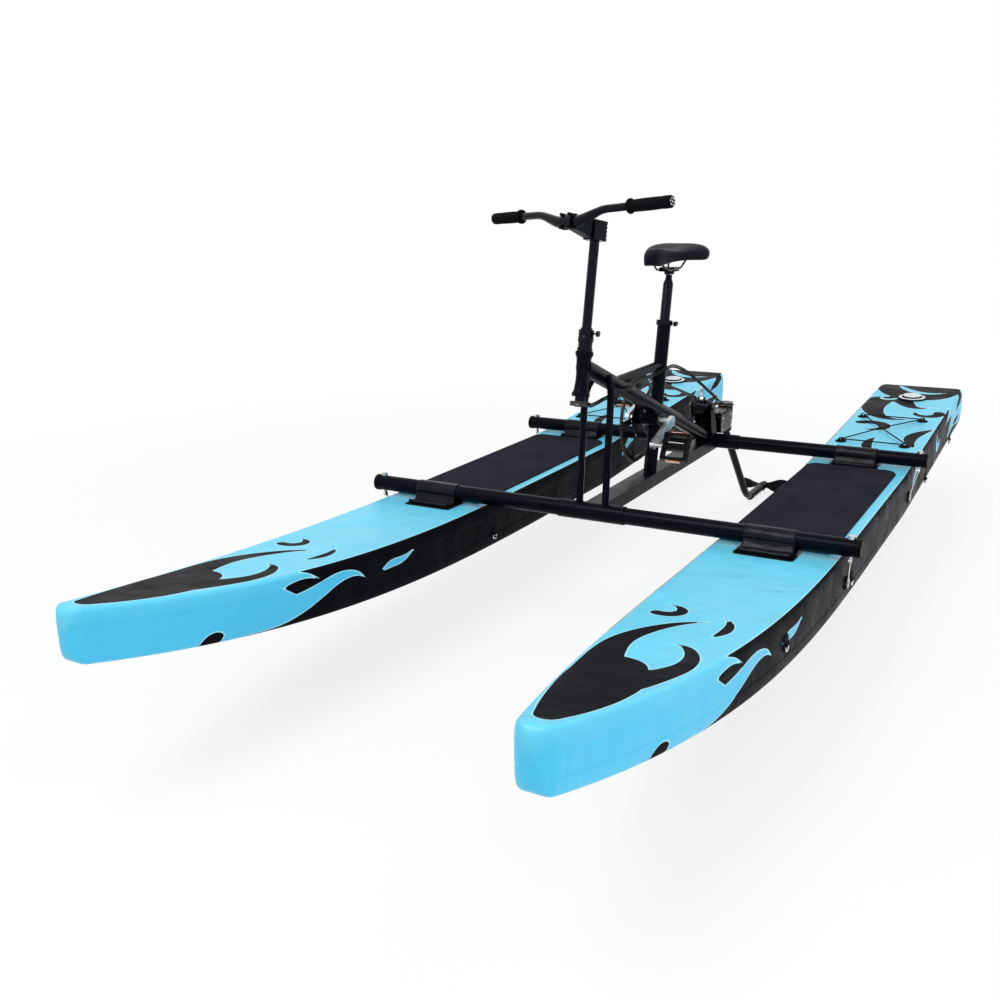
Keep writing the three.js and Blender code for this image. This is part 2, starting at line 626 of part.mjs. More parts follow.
function strutShape(side) {
  const at = (x, run, rise) => [side * x, run - cross.y, cross.z + rise];
  const points = [
    at(strut.x, strutRun.foot, 0),
    at(strut.x, strutRun.middle, strut.rise),
    at(strut.x, strutRun.shoulder, strut.shoulder),
    at(strut.bendX, strutRun.elbow, strut.elbow),
    at(strut.endX, strutRun.end, strutRun.endRise),
  ];
  const path = rounded(points, strutRun.fillet, 2);
  return cut(
    sweep(path, strut.radius, 10),
    sweep(path, strut.radius - strut.wall, 6),
    sleeveCut(-cross.y),
    mainTubeCut(),
  );
}

function makeFrame() {
  for (const [end, y] of [["front", -cross.y], ["rear", cross.y]]) {
    const bore = cross.radius + clearance;
    const from = [-sleeve.half, y, cross.z];
    piece(`${end}_sleeve`, pipe(from, [sleeve.half, y, cross.z], bore + sleeve.wall, bore, wideSides), blackPaint);
    for (const [side, name] of [[left, "left"], [right, "right"]]) {
      piece(`${end}_${name}_tube`, crossTube(y, side), blackPaint);
    }
  }
  piece("spine_beam", spineShape(), blackPaint);
  piece("main_tube", mainTubeShape(), blackPaint);
  piece("seat_tube", seatTubeShape(), blackPaint);
  piece("strut_left", strutShape(left), blackPaint);
  piece("strut_right", strutShape(right), blackPaint);
}

// Quick-release clamps

// A split ring with two ears and a skewer through them. The slit faces the stern.
function collarShape(inner, low) {
  const outer = inner + collar.wall;
  const high = low + collar.height;
  const middle = low + collar.height / 2;
  const reach = outer + collar.earReach;
  const ring = turned([[inner, low], [outer, low], [outer, high], [inner, high]], wideSides);
  const ears = block([-collar.slit / 2 - collar.ear, inner, low], [collar.slit / 2 + collar.ear, reach, high]);
  const slit = block([-collar.slit / 2, inner - overrun / 2, low - overrun], [collar.slit / 2, reach + overrun, high + overrun]);
  const skewerY = outer + collar.earReach / 2;
  return {
    body: join(
      cut(join(ring, cut(ears, rod([0, 0, low - overrun], [0, 0, high + overrun], inner + collar.wall / 2))), slit),
      rod([-outer - collar.skewer, skewerY, middle], [collarPivotX(outer), skewerY, middle], collar.skewer, pinSides),
      rod([-outer - collar.skewer, skewerY, middle], [-outer + collar.ear, skewerY, middle], collar.skewer * 2, pinSides),
    ),
    pivot: [collarPivotX(outer) + leverEye + clearance, skewerY, middle],
  };
}

const leverEye = 6;
const leverWidth = 7;
const leverSpan = 62; // turn that the lever's arm follows round the clamp, in degrees
function collarPivotX(outer) {
  return outer / 2 + collar.ear;
}

// A cam lever whose arm follows the clamp round from its pivot, drawn about the clamp's axis
function leverShape(pivot, height) {
  const [x, y, z] = pivot;
  const radius = Math.hypot(x, y);
  const start = THREE.MathUtils.radToDeg(Math.atan2(y, x));
  const inner = arc([0, 0], radius - leverWidth / 2, start, start - leverSpan, 8);
  const outer = arc([0, 0], radius + leverWidth / 2, start - leverSpan, start, 8);
  return join(
    rod([x, y, z - height / 2], [x, y, z + height / 2], leverEye, 14),
    plate([...inner, ...outer], z - height / 3, z + height / 3),
  );
}

// Steering

const steeringAxis = new THREE.Group();
steeringAxis.position.set(0, steering.y, steering.z);
steeringAxis.rotation.x = -lean;
bike.add(steeringAxis);

function headTubeShape() {
  const { height, bore } = headTube;
  const seat = bearing.outer + clearance;
  const depth = bearing.height + clearance;
  const outer = headProfile();
  return turned([
    [seat, 0], ...outer, [seat, height], [seat, height - depth], [bore, height - depth], [bore, depth], [seat, depth],
  ], wideSides);
}

function bearingShape(low) {
  const high = low + bearing.height - clearance;
  return turned([[bearing.bore, low], [bearing.outer, low], [bearing.outer, high], [bearing.bore, high]], wideSides);
}

function steererShape() {
  const { radius, bore, foot, socketRadius, socketTop, seatRadius, top } = steerer;
  const socket = headTube.height + clearance;
  const band = (socketTop - socket) / 5;
  const edge = socketRadius - band / 4;
  return turned([
    [bore, -foot], [radius, -foot], [radius, socket], [socketRadius, socket], [socketRadius, socket + band],
    [edge, socket + band], [edge, socketTop - band * 2], [socketRadius, socketTop - band * 2],
    [socketRadius, socketTop - band / 2], [edge, socketTop], [seatRadius, socketTop], [seatRadius, top], [bore, top],
  ], wideSides);
}

function drumShape(bore, low) {
  const high = low + drum.height;
  const middle = (low + high) / 2;
  return turned([
    [bore, low], [drum.radius, low], [drum.radius, middle - drum.groove], [drum.radius - drum.groove / 2, middle],
    [drum.radius, middle + drum.groove], [drum.radius, high], [bore, high],
  ], wideSides);
}

function stemShape() {
  const { halfX, halfY, bottom, top, socket, reach, z, armHalf, groove } = stem;
  const box = join(block([-halfX, -halfY, bottom], [halfX, halfY, top]));
  const count = 4;
  const step = (top - bottom) / (count + 1);
  const bands = Array.from({ length: count }, (_, i) => {
    const low = bottom + step * (i + 1) - groove;
    const high = low + groove * 2;
    const wide = overrun + halfY;
    return cut(
      block([-wide, -wide, low], [wide, wide, high]),
      block([groove - halfX, groove - halfY, low - groove], [halfX - groove, halfY - groove, high + groove]),
    );
  });
  const outline = [
    [-reach, z - armHalf], [-halfY + groove * 2, bottom + groove], [-halfY + groove * 2, top - groove], [-reach, z + armHalf],
  ];
  const barrel = rod([-barClamp.half, -reach, z], [barClamp.half, -reach, z], barClamp.radius, wideSides);
  return cut(
    join(cut(box, ...bands), slab(outline, -armHalf, armHalf), barrel),
    rod([0, 0, bottom - overrun], [0, 0, bottom + socket + clearance], post.radius + clearance),
    block([-barClamp.half - overrun, -reach - overrun * 2, z - overrun * 2],
      [barClamp.half + overrun, -reach + barClamp.gap / 2, z + overrun * 2]),
    barBore(),
  );
}

function barBore() {
  const reach = barClamp.half + overrun;
  return rod([-reach, -stem.reach, stem.z], [reach, -stem.reach, stem.z], bar.radius + clearance, wideSides);
}

function faceplateShape() {
  const { half, radius, gap, bolt, boltHead, boltX, boltZ } = barClamp;
  const face = -stem.reach - radius;
  const barrel = rod([-half, -stem.reach, stem.z], [half, -stem.reach, stem.z], radius, wideSides);
  const back = block([-half - overrun, -stem.reach - gap / 2, stem.z - overrun * 2],
    [half + overrun, -stem.reach + overrun * 2, stem.z + overrun * 2]);
  const bolts = [-1, 1].flatMap((up) => [-1, 1].map((side) => {
    const from = [side * boltX, face - bolt / 2, stem.z + up * boltZ];
    const to = [side * boltX, -stem.reach - gap, stem.z + up * boltZ];
    return rod(from, to, boltHead, pinSides);
  }));
  return cut(join(cut(barrel, back), ...bolts), barBore());
}

// Middle line of the handlebar's half, from the stem to its end
function barPoint(share) {
  const [from, to] = [[bar.bend, bar.bendSweep, bar.bendRise], [bar.half, bar.sweep, bar.rise]];
  return from.map((value, axis) => value + (to[axis] - value) * share);
}

function handlebarShape() {
  const half = [[bar.flat, 0, 0], barPoint(0), barPoint(1)];
  const whole = [...half.toReversed().map(([x, y, z]) => [-x, y, z]), ...half];
  const path = rounded(whole, bar.fillet, 2).map(([x, y, z]) => [x, y - stem.reach, z + stem.z]);
  const slope = (x) => THREE.MathUtils.smoothstep(Math.abs(x), bar.flat, bar.bend);
  const radii = path.map(([x]) => THREE.MathUtils.lerp(bar.radius, bar.endRadius, slope(x)));
  return taperedSweep(path, radii, 12);
}

// A round section whose radius changes along a path that runs mostly along X
function taperedSweep(path, radii, sides) {
  const even = sweep(path, 1, sides, false, [0, 0, 1]);
  const points = even.getAttribute("position");
  path.forEach((centre, i) => {
    for (let j = 0; j < sides; j += 1) {
      const at = i * sides + j;
      const grown = ["getX", "getY", "getZ"].map((get, axis) => {
        return centre[axis] + (points[get](at) - centre[axis]) * radii[i];
      });
      points.setXYZ(at, ...grown);
    }
  });
  return even;
}

function gripShape(side) {
  const bore = bar.endRadius + clearance;
  const inside = grip.length - grip.cap;
  const profile = [
    [bore, 0], [grip.flange, 0], [grip.flange, grip.flangeLength], [grip.radius, grip.flangeLength],
    [grip.radius, grip.length - grip.cap], [grip.radius - grip.cap / 2, grip.length], [0, grip.length],
    [0, inside + clearance], [bore, inside + clearance], [bore, 0],
  ];
  const points = profile.map(([radius, height]) => new THREE.Vector2(radius, height));
  const body = new THREE.LatheGeometry(points, 16).rotateX(Math.PI / 2);
  const place = (share) => {
    const [x, y, z] = barPoint(share);
    return [side * x, y - stem.reach, z + stem.z];
  };
  const run = distance(place(0), place(1));
  return between(body, place(1 - inside / run), place(1));
}

function makeSteering() {
  piece("head_tube", headTubeShape(), blackPaint, steeringAxis);
  piece("headset_bearing_lower", bearingShape(clearance), brightSteel, steeringAxis);
  piece("headset_bearing_upper", bearingShape(headTube.height - bearing.height), brightSteel, steeringAxis);
  piece("steerer", steererShape(), blackAlloy, steeringAxis);
  const drumLow = -drum.above - drum.height;
  piece("front_cable_drum", drumShape(steerer.radius + clearance, drumLow), darkSteel, steeringAxis);
  const clamp = collarShape(steerer.seatRadius + clearance, steerer.socketTop + clearance);
  piece("post_clamp_collar", clamp.body, blackAlloy, steeringAxis);
  piece("post_clamp_lever", leverShape(clamp.pivot, collar.height), silverAlloy, steeringAxis);
  const bore = post.radius - post.wall;
  piece("handlepost", pipe([0, 0, post.foot], [0, 0, post.top], post.radius, bore), blackAlloy, steeringAxis);
  const turnedBar = new THREE.Group();
  turnedBar.rotation.z = -THREE.MathUtils.degToRad(steering.turn);
  steeringAxis.add(turnedBar);
  piece("stem", stemShape(), blackAlloy, turnedBar);
  piece("faceplate", faceplateShape(), blackAlloy, turnedBar);
  piece("handlebar", handlebarShape(), blackAlloy, turnedBar);
  piece("grip_left", gripShape(left), blackRubber, turnedBar);
  piece("grip_right", gripShape(right), blackRubber, turnedBar);
}

// Seat

const seatAxis = new THREE.Group();
seatAxis.position.set(0, seatFoot.y, seatFoot.z);
seatAxis.rotation.x = -lean;
bike.add(seatAxis);

// Half width, crown height and base height of the saddle, as shares of its half width and of its depth, along its length
const saddleShares = [
  [0, 0.1, 0.62, 0.1], [0.03, 0.17, 0.74, 0.02], [0.12, 0.21, 0.82, 0], [0.28, 0.26, 0.86, 0.02],
  [0.42, 0.36, 0.84, 0.06], [0.55, 0.58, 0.82, 0.1], [0.68, 0.84, 0.86, 0.12], [0.8, 1, 0.94, 0.12],
  [0.9, 0.98, 1, 0.14], [0.97, 0.8, 0.98, 0.24], [1, 0.55, 0.8, 0.4],
];

// Outline of the saddle's flank: shares of its half width, and of its depth down from the crown
const flankOutlineShares = [[0.5, 1 / 18], [0.86, 7 / 30], [1, 8 / 15], [0.96, 8 / 9], [0.8, 1]];

function saddleShape(clampY) {
  const depth = saddle.crown - saddle.base;
  const length = saddle.nose + saddle.tail;
  return loft(
    saddleShares.map(([along, wide, crown, base]) => {
      const y = clampY - saddle.nose + along * length;
      const half = saddle.halfWidth * wide;
      const top = saddle.base + depth * crown;
      const low = saddle.base + depth * base;
      const flank = flankOutlineShares.map(([out, down]) => [half * out, top - (top - low) * down]);
      const ring = [[0, top], ...flank, [0, low], ...flank.toReversed().map(([x, z]) => [-x, z])];
      return ring.map(([x, z]) => [x, y, z]);
    }),
  );
}

// Height of the saddle's underside, by distance from the clamp towards the tail
function saddleUnder(behind) {
  const along = (saddle.nose + behind) / (saddle.nose + saddle.tail);
  const i = saddleShares.findIndex(([share]) => share >= along);
  const [from, to] = [saddleShares[i - 1], saddleShares[i]];
  const share = THREE.MathUtils.mapLinear(along, from[0], to[0], from[3], to[3]);
  return saddle.base + (saddle.crown - saddle.base) * share;
}

function railsShape(clampY) {
  const frontZ = saddleUnder(-rail.front) - clearance - rail.radius;
  const rearZ = saddleUnder(rail.rear) - clearance - rail.radius;
  const one = (side) => [
    [side * rail.noseHalf, clampY - rail.front, frontZ],
    [side * rail.half, clampY - rail.level, rail.z],
    [side * rail.half, clampY + rail.levelRear, rail.z],
    [side * (rail.half + rail.noseHalf), clampY + rail.rear, rearZ],
  ];
  const whole = [...one(right).toReversed(), ...one(left)];
  const rear = rod(
    [-(rail.half + rail.noseHalf), clampY + rail.rear, rearZ],
    [rail.half + rail.noseHalf, clampY + rail.rear, rearZ], rail.radius, 6);
  return join(sweep(rounded(whole, overrun, 2), rail.radius, 6), rear);
}

function saddleClampShape(clampY, postTop) {
  const { halfX, halfY, plate: thick, neck } = clampBlock;
  const low = postTop + clearance;
  const reach = rail.levelRear;
  const holes = [left, right].map((side) =>
    rod([side * rail.half, clampY - reach, rail.z], [side * rail.half, clampY + reach, rail.z], rail.radius + clearance, 8));
  const bolt = rod([0, clampY - halfY, rail.z - thick], [0, clampY - halfY - thick, rail.z - thick], thick / 2, 8);
  return cut(
    join(
      block([-halfX, clampY - halfY, rail.z - rail.radius * 2], [halfX, clampY + halfY, rail.z + rail.radius * 2]),
      rod([0, clampY, low], [0, clampY, rail.z], neck, tubeSides),
      bolt,
    ),
    ...holes,
  );
}

function makeSeat() {
  const clamp = collarShape(seatTube.radius + clearance, seatTube.top - collar.height + clearance);
  piece("seat_clamp_collar", clamp.body, blackAlloy, seatAxis);
  piece("seat_clamp_lever", leverShape(clamp.pivot, collar.height), silverAlloy, seatAxis);
  const { radius, foot, straight, neckRadius, neck, top } = seatpost;
  const tube = turned([[0, foot], [radius, foot], [radius, straight], [neckRadius, neck], [neckRadius, top], [0, top]]);
  piece("seatpost", tube, blackAlloy, seatAxis);
  const [, clampY, postTop] = seatPoint(top + neckRadius * Math.tan(lean));
  piece("saddle", saddleShape(clampY), blackVinyl);
  piece("saddle_rails", railsShape(clampY), darkSteel);
  piece("saddle_clamp", saddleClampShape(clampY, postTop), blackAlloy);
}

// Chain drive

const ringRadius = pitch / (2 * Math.sin(Math.PI / ringTeeth));
const sprocketRadius = pitch / (2 * Math.sin(Math.PI / sprocketTeeth));

// The shafts' distance at which the chain's whole number of links closes
function shaftDistance() {
  const links = (span) => {
    const wrapAngle = Math.asin((ringRadius - sprocketRadius) / span);
    const onRing = ((Math.PI + 2 * wrapAngle) * ringTeeth) / (2 * Math.PI);
    const onSprocket = ((Math.PI - 2 * wrapAngle) * sprocketTeeth) / (2 * Math.PI);
    return onRing + onSprocket + (2 * span * Math.cos(wrapAngle)) / pitch;
  };
  let [low, high] = [ringRadius + sprocketRadius, chainLinks * pitch];
  for (let i = 0; i < 60; i += 1) {
    const middle = (low + high) / 2;
    if (links(middle) < chainLinks) low = middle;
    else high = middle;
  }
  return low;
}

const span = shaftDistance();
const fall = Math.asin(chainRun.direction);
const drive = { y: crank.y + span * Math.cos(fall), z: crank.z + span * Math.sin(fall) };
const wrapAngle = Math.asin((ringRadius - sprocketRadius) / span);
const ringStart = fall + Math.PI / 2 - wrapAngle; // where the upper run leaves the chainring, from +Y towards +Z
const straightLinks = (span * Math.cos(wrapAngle)) / pitch;
const ringLinks = ((Math.PI + 2 * wrapAngle) * ringTeeth) / (2 * Math.PI);
const sprocketLinks = chainLinks - ringLinks - 2 * straightLinks;

// The place of a chain pin, by links from the upper run's start on the chainring, going round the chainring first
function pinAt(link) {
  const around = (centre, radius, angle) => [centre.y + radius * Math.cos(angle), centre.z + radius * Math.sin(angle)];
  const ringEnd = ringStart + Math.PI + 2 * wrapAngle;
  const lowerStart = around(crank, ringRadius, ringEnd);
  const sprocketFrom = around(drive, sprocketRadius, ringEnd);
  const sprocketTo = around(drive, sprocketRadius, ringStart);
  const upperEnd = around(crank, ringRadius, ringStart);
  const along = (from, to, share) => from.map((value, axis) => value + (to[axis] - value) * share);
  if (link <= ringLinks) return around(crank, ringRadius, ringStart + (link * 2 * Math.PI) / ringTeeth);
  const lower = link - ringLinks;
  if (lower <= straightLinks) return along(lowerStart, sprocketFrom, lower / straightLinks);
  const round = lower - straightLinks;
  if (round <= sprocketLinks) return around(drive, sprocketRadius, ringEnd + (round * 2 * Math.PI) / sprocketTeeth);
  return along(sprocketTo, upperEnd, (round - sprocketLinks) / straightLinks);
}

const straightTurn = 1e-3; // less than this between neighbours is a straight run
function chainShape() {
  const pins = Array.from({ length: chainLinks }, (_, i) => pinAt(i));
  const headings = pins.map(([y, z], i) => {
    const [before, after] = [pins.at(i - 1), pins[(i + 1) % chainLinks]];
    return Math.atan2(after[1] - before[1], after[0] - before[0]);
  });
  const bends = pins.map((_, i) => {
    const turn = Math.abs(headings.at(i - 1) - headings[(i + 1) % chainLinks]);
    return Math.min(turn, 2 * Math.PI - turn) > straightTurn;
  });
  const strip = (from, to) => loft(
    pins.map((pin, i) => [pin, headings[i]]).filter((_, i) => bends[i]).map(([[y, z], way]) => {
      const [outY, outZ] = [-Math.sin(way) * roller.depth, Math.cos(way) * roller.depth];
      return [[from, y - outY, z - outZ], [to, y - outY, z - outZ], [to, y + outY, z + outZ], [from, y + outY, z + outZ]];
    }),
    true,
  );
  const outer = roller.gap + roller.plate;
  const rollers = pins.map(([y, z]) => {
    const end = roller.gap + roller.plate / 2;
    return rod([-end, y, z], [end, y, z], roller.radius, roller.sides);
  });
  return join(strip(-outer, -roller.gap), strip(roller.gap, outer), ...rollers);
}

// A toothed wheel's outline about its axle, with a seat for a roller at angle 0
function cogOutline(teeth, radius) {
  const outline = [];
  for (let i = 0; i < teeth; i += 1) {
    const angle = (2 * Math.PI * i) / teeth;
    const step = (2 * Math.PI) / teeth;
    const centre = [radius * Math.cos(angle), radius * Math.sin(angle)];
    for (const turn of seatTurns) {
      const towards = angle + Math.PI + THREE.MathUtils.degToRad(turn);
      outline.push([centre[0] + roller.seat * Math.cos(towards), centre[1] + roller.seat * Math.sin(towards)]);
    }
    const tip = radius + roller.tip;
    outline.push([tip * Math.cos(angle + step / 2), tip * Math.sin(angle + step / 2)]);
  }
  return outline;
}
const seatTurns = [66, 0, -66]; // degrees from the direction to the axle

function chainringShape() {
  const half = cog.thickness / 2;
  const shape = new THREE.Shape(cogOutline(ringTeeth, ringRadius).map(([y, z]) => new THREE.Vector2(y, z)));
  const rim = ringRadius - cog.rim;
  const step = 360 / cog.windows;
  for (let i = 0; i < cog.windows; i += 1) {
    const middle = step * i;
    const turnOut = (step - THREE.MathUtils.radToDeg(cog.spoke / rim)) / 2;
    const turnIn = (step - THREE.MathUtils.radToDeg(cog.spoke / cog.boltCircle)) / 2;
    const outline = [
      ...arc([0, 0], rim, middle - turnOut, middle + turnOut, 6),
      ...arc([0, 0], cog.boltCircle, middle + turnIn, middle - turnIn, 3),
    ];
    shape.holes.push(new THREE.Path(outline.map(([y, z]) => new THREE.Vector2(y, z))));
  }
  return cut(
    join(slab(shape, -half, half), rod([-cog.hubHalf, 0, 0], [cog.hubHalf, 0, 0], cog.hub)),
    rod([-cog.hubHalf - overrun, 0, 0], [cog.hubHalf + overrun, 0, 0], crank.axleRadius + clearance),
  );
}

function sprocketShape() {
  const half = cog.thickness / 2;
  const nutFrom = cheek.inner + cheek.thickness + clearance;
  const toLine = (x) => x - chainLine;
  return join(
    slab(cogOutline(sprocketTeeth, sprocketRadius), -half, half),
    rod([toLine(shaft.right), 0, 0], [toLine(shaft.left), 0, 0], shaft.radius),
    rod([toLine(shaft.right) + clearance, 0, 0], [toLine(-cheek.inner - cheek.thickness - clearance), 0, 0], cog.small),
    rod([toLine(nutFrom), 0, 0], [toLine(nutFrom + shaft.nutWidth), 0, 0], shaft.nut, 6),
  );
}

// An arm from the axle along -Y, in the turned frame of the cranks
function armShape(side) {
  const { length, inner, outer, bossRadius, eyeRadius } = arm;
  const at = (x, y) => [side * x, y, 0];
  const reach = side * length; // the left arm points to the bows
  const outline = side > 0
    ? [...arc([0, 0], bossRadius, -80, 80, 8), ...arc([-length, 0], eyeRadius, 100, 260, 8)]
    : [...arc([0, 0], bossRadius, 100, 260, 8), ...arc([length, 0], eyeRadius, -80, 80, 8)];
  const [from, to] = side > 0 ? [inner, outer] : [-outer, -inner];
  const spindle = rod(at(inner, -reach), at(pedal.x + pedal.halfX - pedal.rim, -reach), pedal.spindle, 12);
  return join(slab(outline, from, to), spindle);
}

const crankAxis = new THREE.Group();
crankAxis.position.set(0, crank.y, crank.z);
crankAxis.rotation.x = THREE.MathUtils.degToRad(arm.drop);
bike.add(crankAxis);

function pedalShape() {
  const { halfX, halfY, halfZ, rim, spindle, hub, reflector } = pedal;
  const core = spindle + clearance;
  const body = cut(
    block([-halfX, -halfY, -halfZ], [halfX, halfY, halfZ]),
    block([rim - halfX, hub, -halfZ - overrun], [halfX - rim, halfY - rim, halfZ + overrun]),
    block([rim - halfX, rim - halfY, -halfZ - overrun], [halfX - rim, -hub, halfZ + overrun]),
  );
  const reflectors = [-1, 1].map((way) =>
    block([-halfX / 2, way * halfY - reflector, -halfZ / 2], [halfX / 2, way * halfY + reflector, halfZ / 2]));
  return { body: join(body, ...reflectors), core };
}

function pedalSolid(side) {
  const { body, core } = pedalShape();
  const { halfX, rim } = pedal;
  return cut(body, rod([-side * (halfX + overrun), 0, 0], [side * (halfX - rim + clearance), 0, 0], core, 14));
}

function makeCranks() {
  piece("crank_left", cut(armShape(left), axleCut()), silverAlloy, crankAxis);
  const axle = rod([-arm.outer, 0, 0], [arm.outer + clearance * 6, 0, 0], crank.axleRadius);
  piece("crank_right", join(armShape(right), axle), silverAlloy, crankAxis);
  const ring = piece("chainring", chainringShape(), blackAlloy);
  ring.position.set(chainLine, crank.y, crank.z);
  ring.rotation.x = ringStart;
  piece("chain", chainShape(), darkSteel).position.x = chainLine;
  const small = piece("sprocket", sprocketShape(), darkSteel);
  small.position.set(chainLine, drive.y, drive.z);
  const firstOnSprocket = Math.ceil(ringLinks + straightLinks);
  const [pinY, pinZ] = pinAt(firstOnSprocket);
  small.rotation.x = Math.atan2(pinZ - drive.z, pinY - drive.y);
  const drop = THREE.MathUtils.degToRad(arm.drop);
  for (const [side, name] of [[left, "left"], [right, "right"]]) {
    const foot = piece(`pedal_${name}`, pedalSolid(side), blackPlastic);
    foot.position.set(
      side * pedal.x, crank.y - side * arm.length * Math.cos(drop), crank.z - side * arm.length * Math.sin(drop));
    foot.rotation.x = THREE.MathUtils.degToRad(pedal.tilt);
  }
}

function axleCut() {
  return rod([0, 0, 0], [arm.outer + overrun, 0, 0], crank.axleRadius + clearance);
}

// Drive

function shaftCut() {
  return rod([-housing.boxHalf - overrun, drive.y, drive.z], [housing.boxHalf + overrun, drive.y, drive.z],
    shaft.radius + clearance);
}

function bracketShape() {
  const { inner, thickness, head, foot, heel, barRadius, barY, barZ } = cheek;
  const low = spineTop + clearance;
  const outline = [[foot, low], [heel, low], [barY + barRadius * 3, barZ], ...arc([drive.y, drive.z], head, 0, 180, 8)];
  const cheeks = [[-inner - thickness, -inner], [inner, inner + thickness]].map(([from, to]) => slab(outline, from, to));
  const reach = inner + thickness;
  return cut(join(...cheeks, rod([-reach, barY, barZ], [reach, barY, barZ], barRadius, 14)), shaftCut());
}

function housingShape() {
  const { drumHalf, drumRadius, fin, fins, armHalf, boxHalf, boxFront } = housing;
  const { rear, bottom, top, edge, lid, lidEdge, boltRadius, boltX } = gearbox;
  const step = (drumHalf * 2) / (fins * 2 - 1);
  const profile = [[0, 0]];
  for (let i = 0; i < fins; i += 1) {
    const low = step * 2 * i;
    profile.push([drumRadius - fin, low], [drumRadius, low], [drumRadius, low + step], [drumRadius - fin, low + step]);
  }
  profile.push([0, drumHalf * 2]);
  const finned = between(turned(profile.filter((_, i) => i !== 1 && i !== profile.length - 2), wideSides),
    [-drumHalf, drive.y, drive.z], [drumHalf, drive.y, drive.z]);
  const reach = [drive.y - cheek.head / 2, drive.z - drumRadius + fin * 2];
  const armOutline = [reach, [boxFront, bottom + edge * 2], [boxFront + edge, top], [boxFront - edge, top],
    [drive.y + drumRadius - fin, drive.z + edge]];
  const box = [
    [boxFront + edge, bottom], [rear - edge, bottom], [rear, bottom + edge], [rear, top - edge],
    [rear - edge, top], [boxFront + edge, top], [boxFront, top - edge], [boxFront, bottom + edge],
  ];
  const lidPlate = block([lidEdge - boxHalf, boxFront + lidEdge, top - lid], [boxHalf - lidEdge, rear - lidEdge, top + lid]);
  const boltYs = [boxFront + edge * 2, rear - edge * 2];
  const bolts = boltYs.flatMap((y) => [-1, 1].map((side) =>
    rod([side * boltX, y, top], [side * boltX, y, top + lid + boltRadius], boltRadius, 6)));
  const neck = block([-armHalf, rear - edge, swivel.bossBottom], [armHalf, swivel.y, swivel.bossTop - lid]);
  const boss = rod([0, swivel.y, swivel.bossBottom], [0, swivel.y, swivel.bossTop], swivel.bossRadius, wideSides);
  const pivotY = drive.y + release.y;
  const pivotZ = drive.z + release.z;
  const earIn = release.half + clearance;
  const ears = [[-earIn - release.ear, -earIn], [earIn, earIn + release.ear]].map(([from, to]) => join(
    rod([from, pivotY, pivotZ], [to, pivotY, pivotZ], release.eye, 12),
    slab([[pivotY - release.eye, pivotZ], [drive.y - drumRadius / 2, drive.z], [drive.y, drive.z + drumRadius / 2],
      [pivotY + release.eye, pivotZ]], from, to),
  ));
  const pin = rod([-earIn - release.ear, pivotY, pivotZ], [earIn + release.ear, pivotY, pivotZ], release.pin, 12);
  return cut(
    join(finned, slab(armOutline, -armHalf, armHalf), slab(box, -boxHalf, boxHalf), lidPlate, ...bolts, neck, boss,
      ...ears, pin),
    shaftCut(),
    rod([-boxHalf, cheek.barY, cheek.barZ], [boxHalf, cheek.barY, cheek.barZ], cheek.barRadius + clearance, 14),
    rod([0, swivel.y, swivel.bossBottom - overrun], [0, swivel.y, swivel.bossTop + overrun], swivel.spindle + clearance),
  );
}

function releaseShape() {
  const { pin, half, height, width, eye } = release;
  return cut(
    join(
      rod([-half, 0, 0], [half, 0, 0], eye, 14),
      slab([[-width / 2, 0], [width / 2, 0], [width / 2, height - width], [0, height], [-width / 2, height - width]],
        -half, half),
    ),
    rod([-half - overrun, 0, 0], [half + overrun, 0, 0], pin + clearance, 12),
  );
}

function legShape() {
  const { tube, kneeY, kneeZ, knee, end, housing: lower, collar: band, collarLength } = leg;
  const { headRadius, headBottom, bossBottom, spindle } = swivel;
  const headTop = bossBottom - clearance * 3;
  const spindleTop = swivel.bossTop + clearance * 2 + drum.height;
  const path = rounded([[0, swivel.y, headBottom + tube], [0, kneeY, kneeZ], [0, end, kneeZ]], knee, 5);
  const head = turned([[0, headBottom], [headRadius - spindle / 2, headBottom], [headRadius, headBottom + spindle / 2],
    [headRadius, headTop], [spindle, headTop], [spindle, spindleTop], [0, spindleTop]], wideSides);
  return cut(
    join(
      head.translate(0, swivel.y, 0),
      sweep(path, tube, 12),
      rod([0, kneeY + knee / 2, kneeZ], [0, end, kneeZ], lower),
      rod([0, end - collarLength, kneeZ], [0, end - clearance, kneeZ], band),
    ),
    rod([0, end - propeller.shaftLength - clearance, kneeZ], [0, end + overrun, kneeZ], propeller.shaft + clearance, 14),
  );
}

// Share of the radius, of the chord and of the thickness at each section of a blade
const bladeShares = [
  [0.08, 0.42, 1], [0.2, 0.6, 1], [0.34, 0.82, 0.85], [0.5, 0.97, 0.7], [0.66, 1, 0.55], [0.8, 0.9, 0.42],
  [0.91, 0.66, 0.32], [0.98, 0.34, 0.24],
];
// Place along the chord and height of the section's outline, as shares of the chord and of the thickness
const sectionShares = [[-0.5, 0], [-0.3, 0.8], [0, 1], [0.3, 0.7], [0.5, 0], [0.28, -0.3], [0, -0.4], [-0.3, -0.3]];

function bladeShape(side) {
  return loft(
    bladeShares.map(([out, chordShare, thickShare]) => {
      const reach = out * propeller.radius;
      const chord = chordShare * propeller.chord;
      const thick = thickShare * propeller.thickness;
      const angle = Math.atan(propeller.pitch / (2 * Math.PI * Math.max(reach, propeller.hub * 2)));
      return sectionShares.map(([along, up]) => {
        const [c, t] = [along * chord, (up * thick) / 2];
        return [side * reach, c * Math.sin(angle) + t * Math.cos(angle), side * (c * Math.cos(angle) - t * Math.sin(angle))];
      });
    }),
  );
}

// Outline of the hub, as shares of its radius and length
const hubShares = [[0, 0], [1, 0], [1, 0.6], [0.86, 0.8], [0.5, 0.95], [0, 1]];

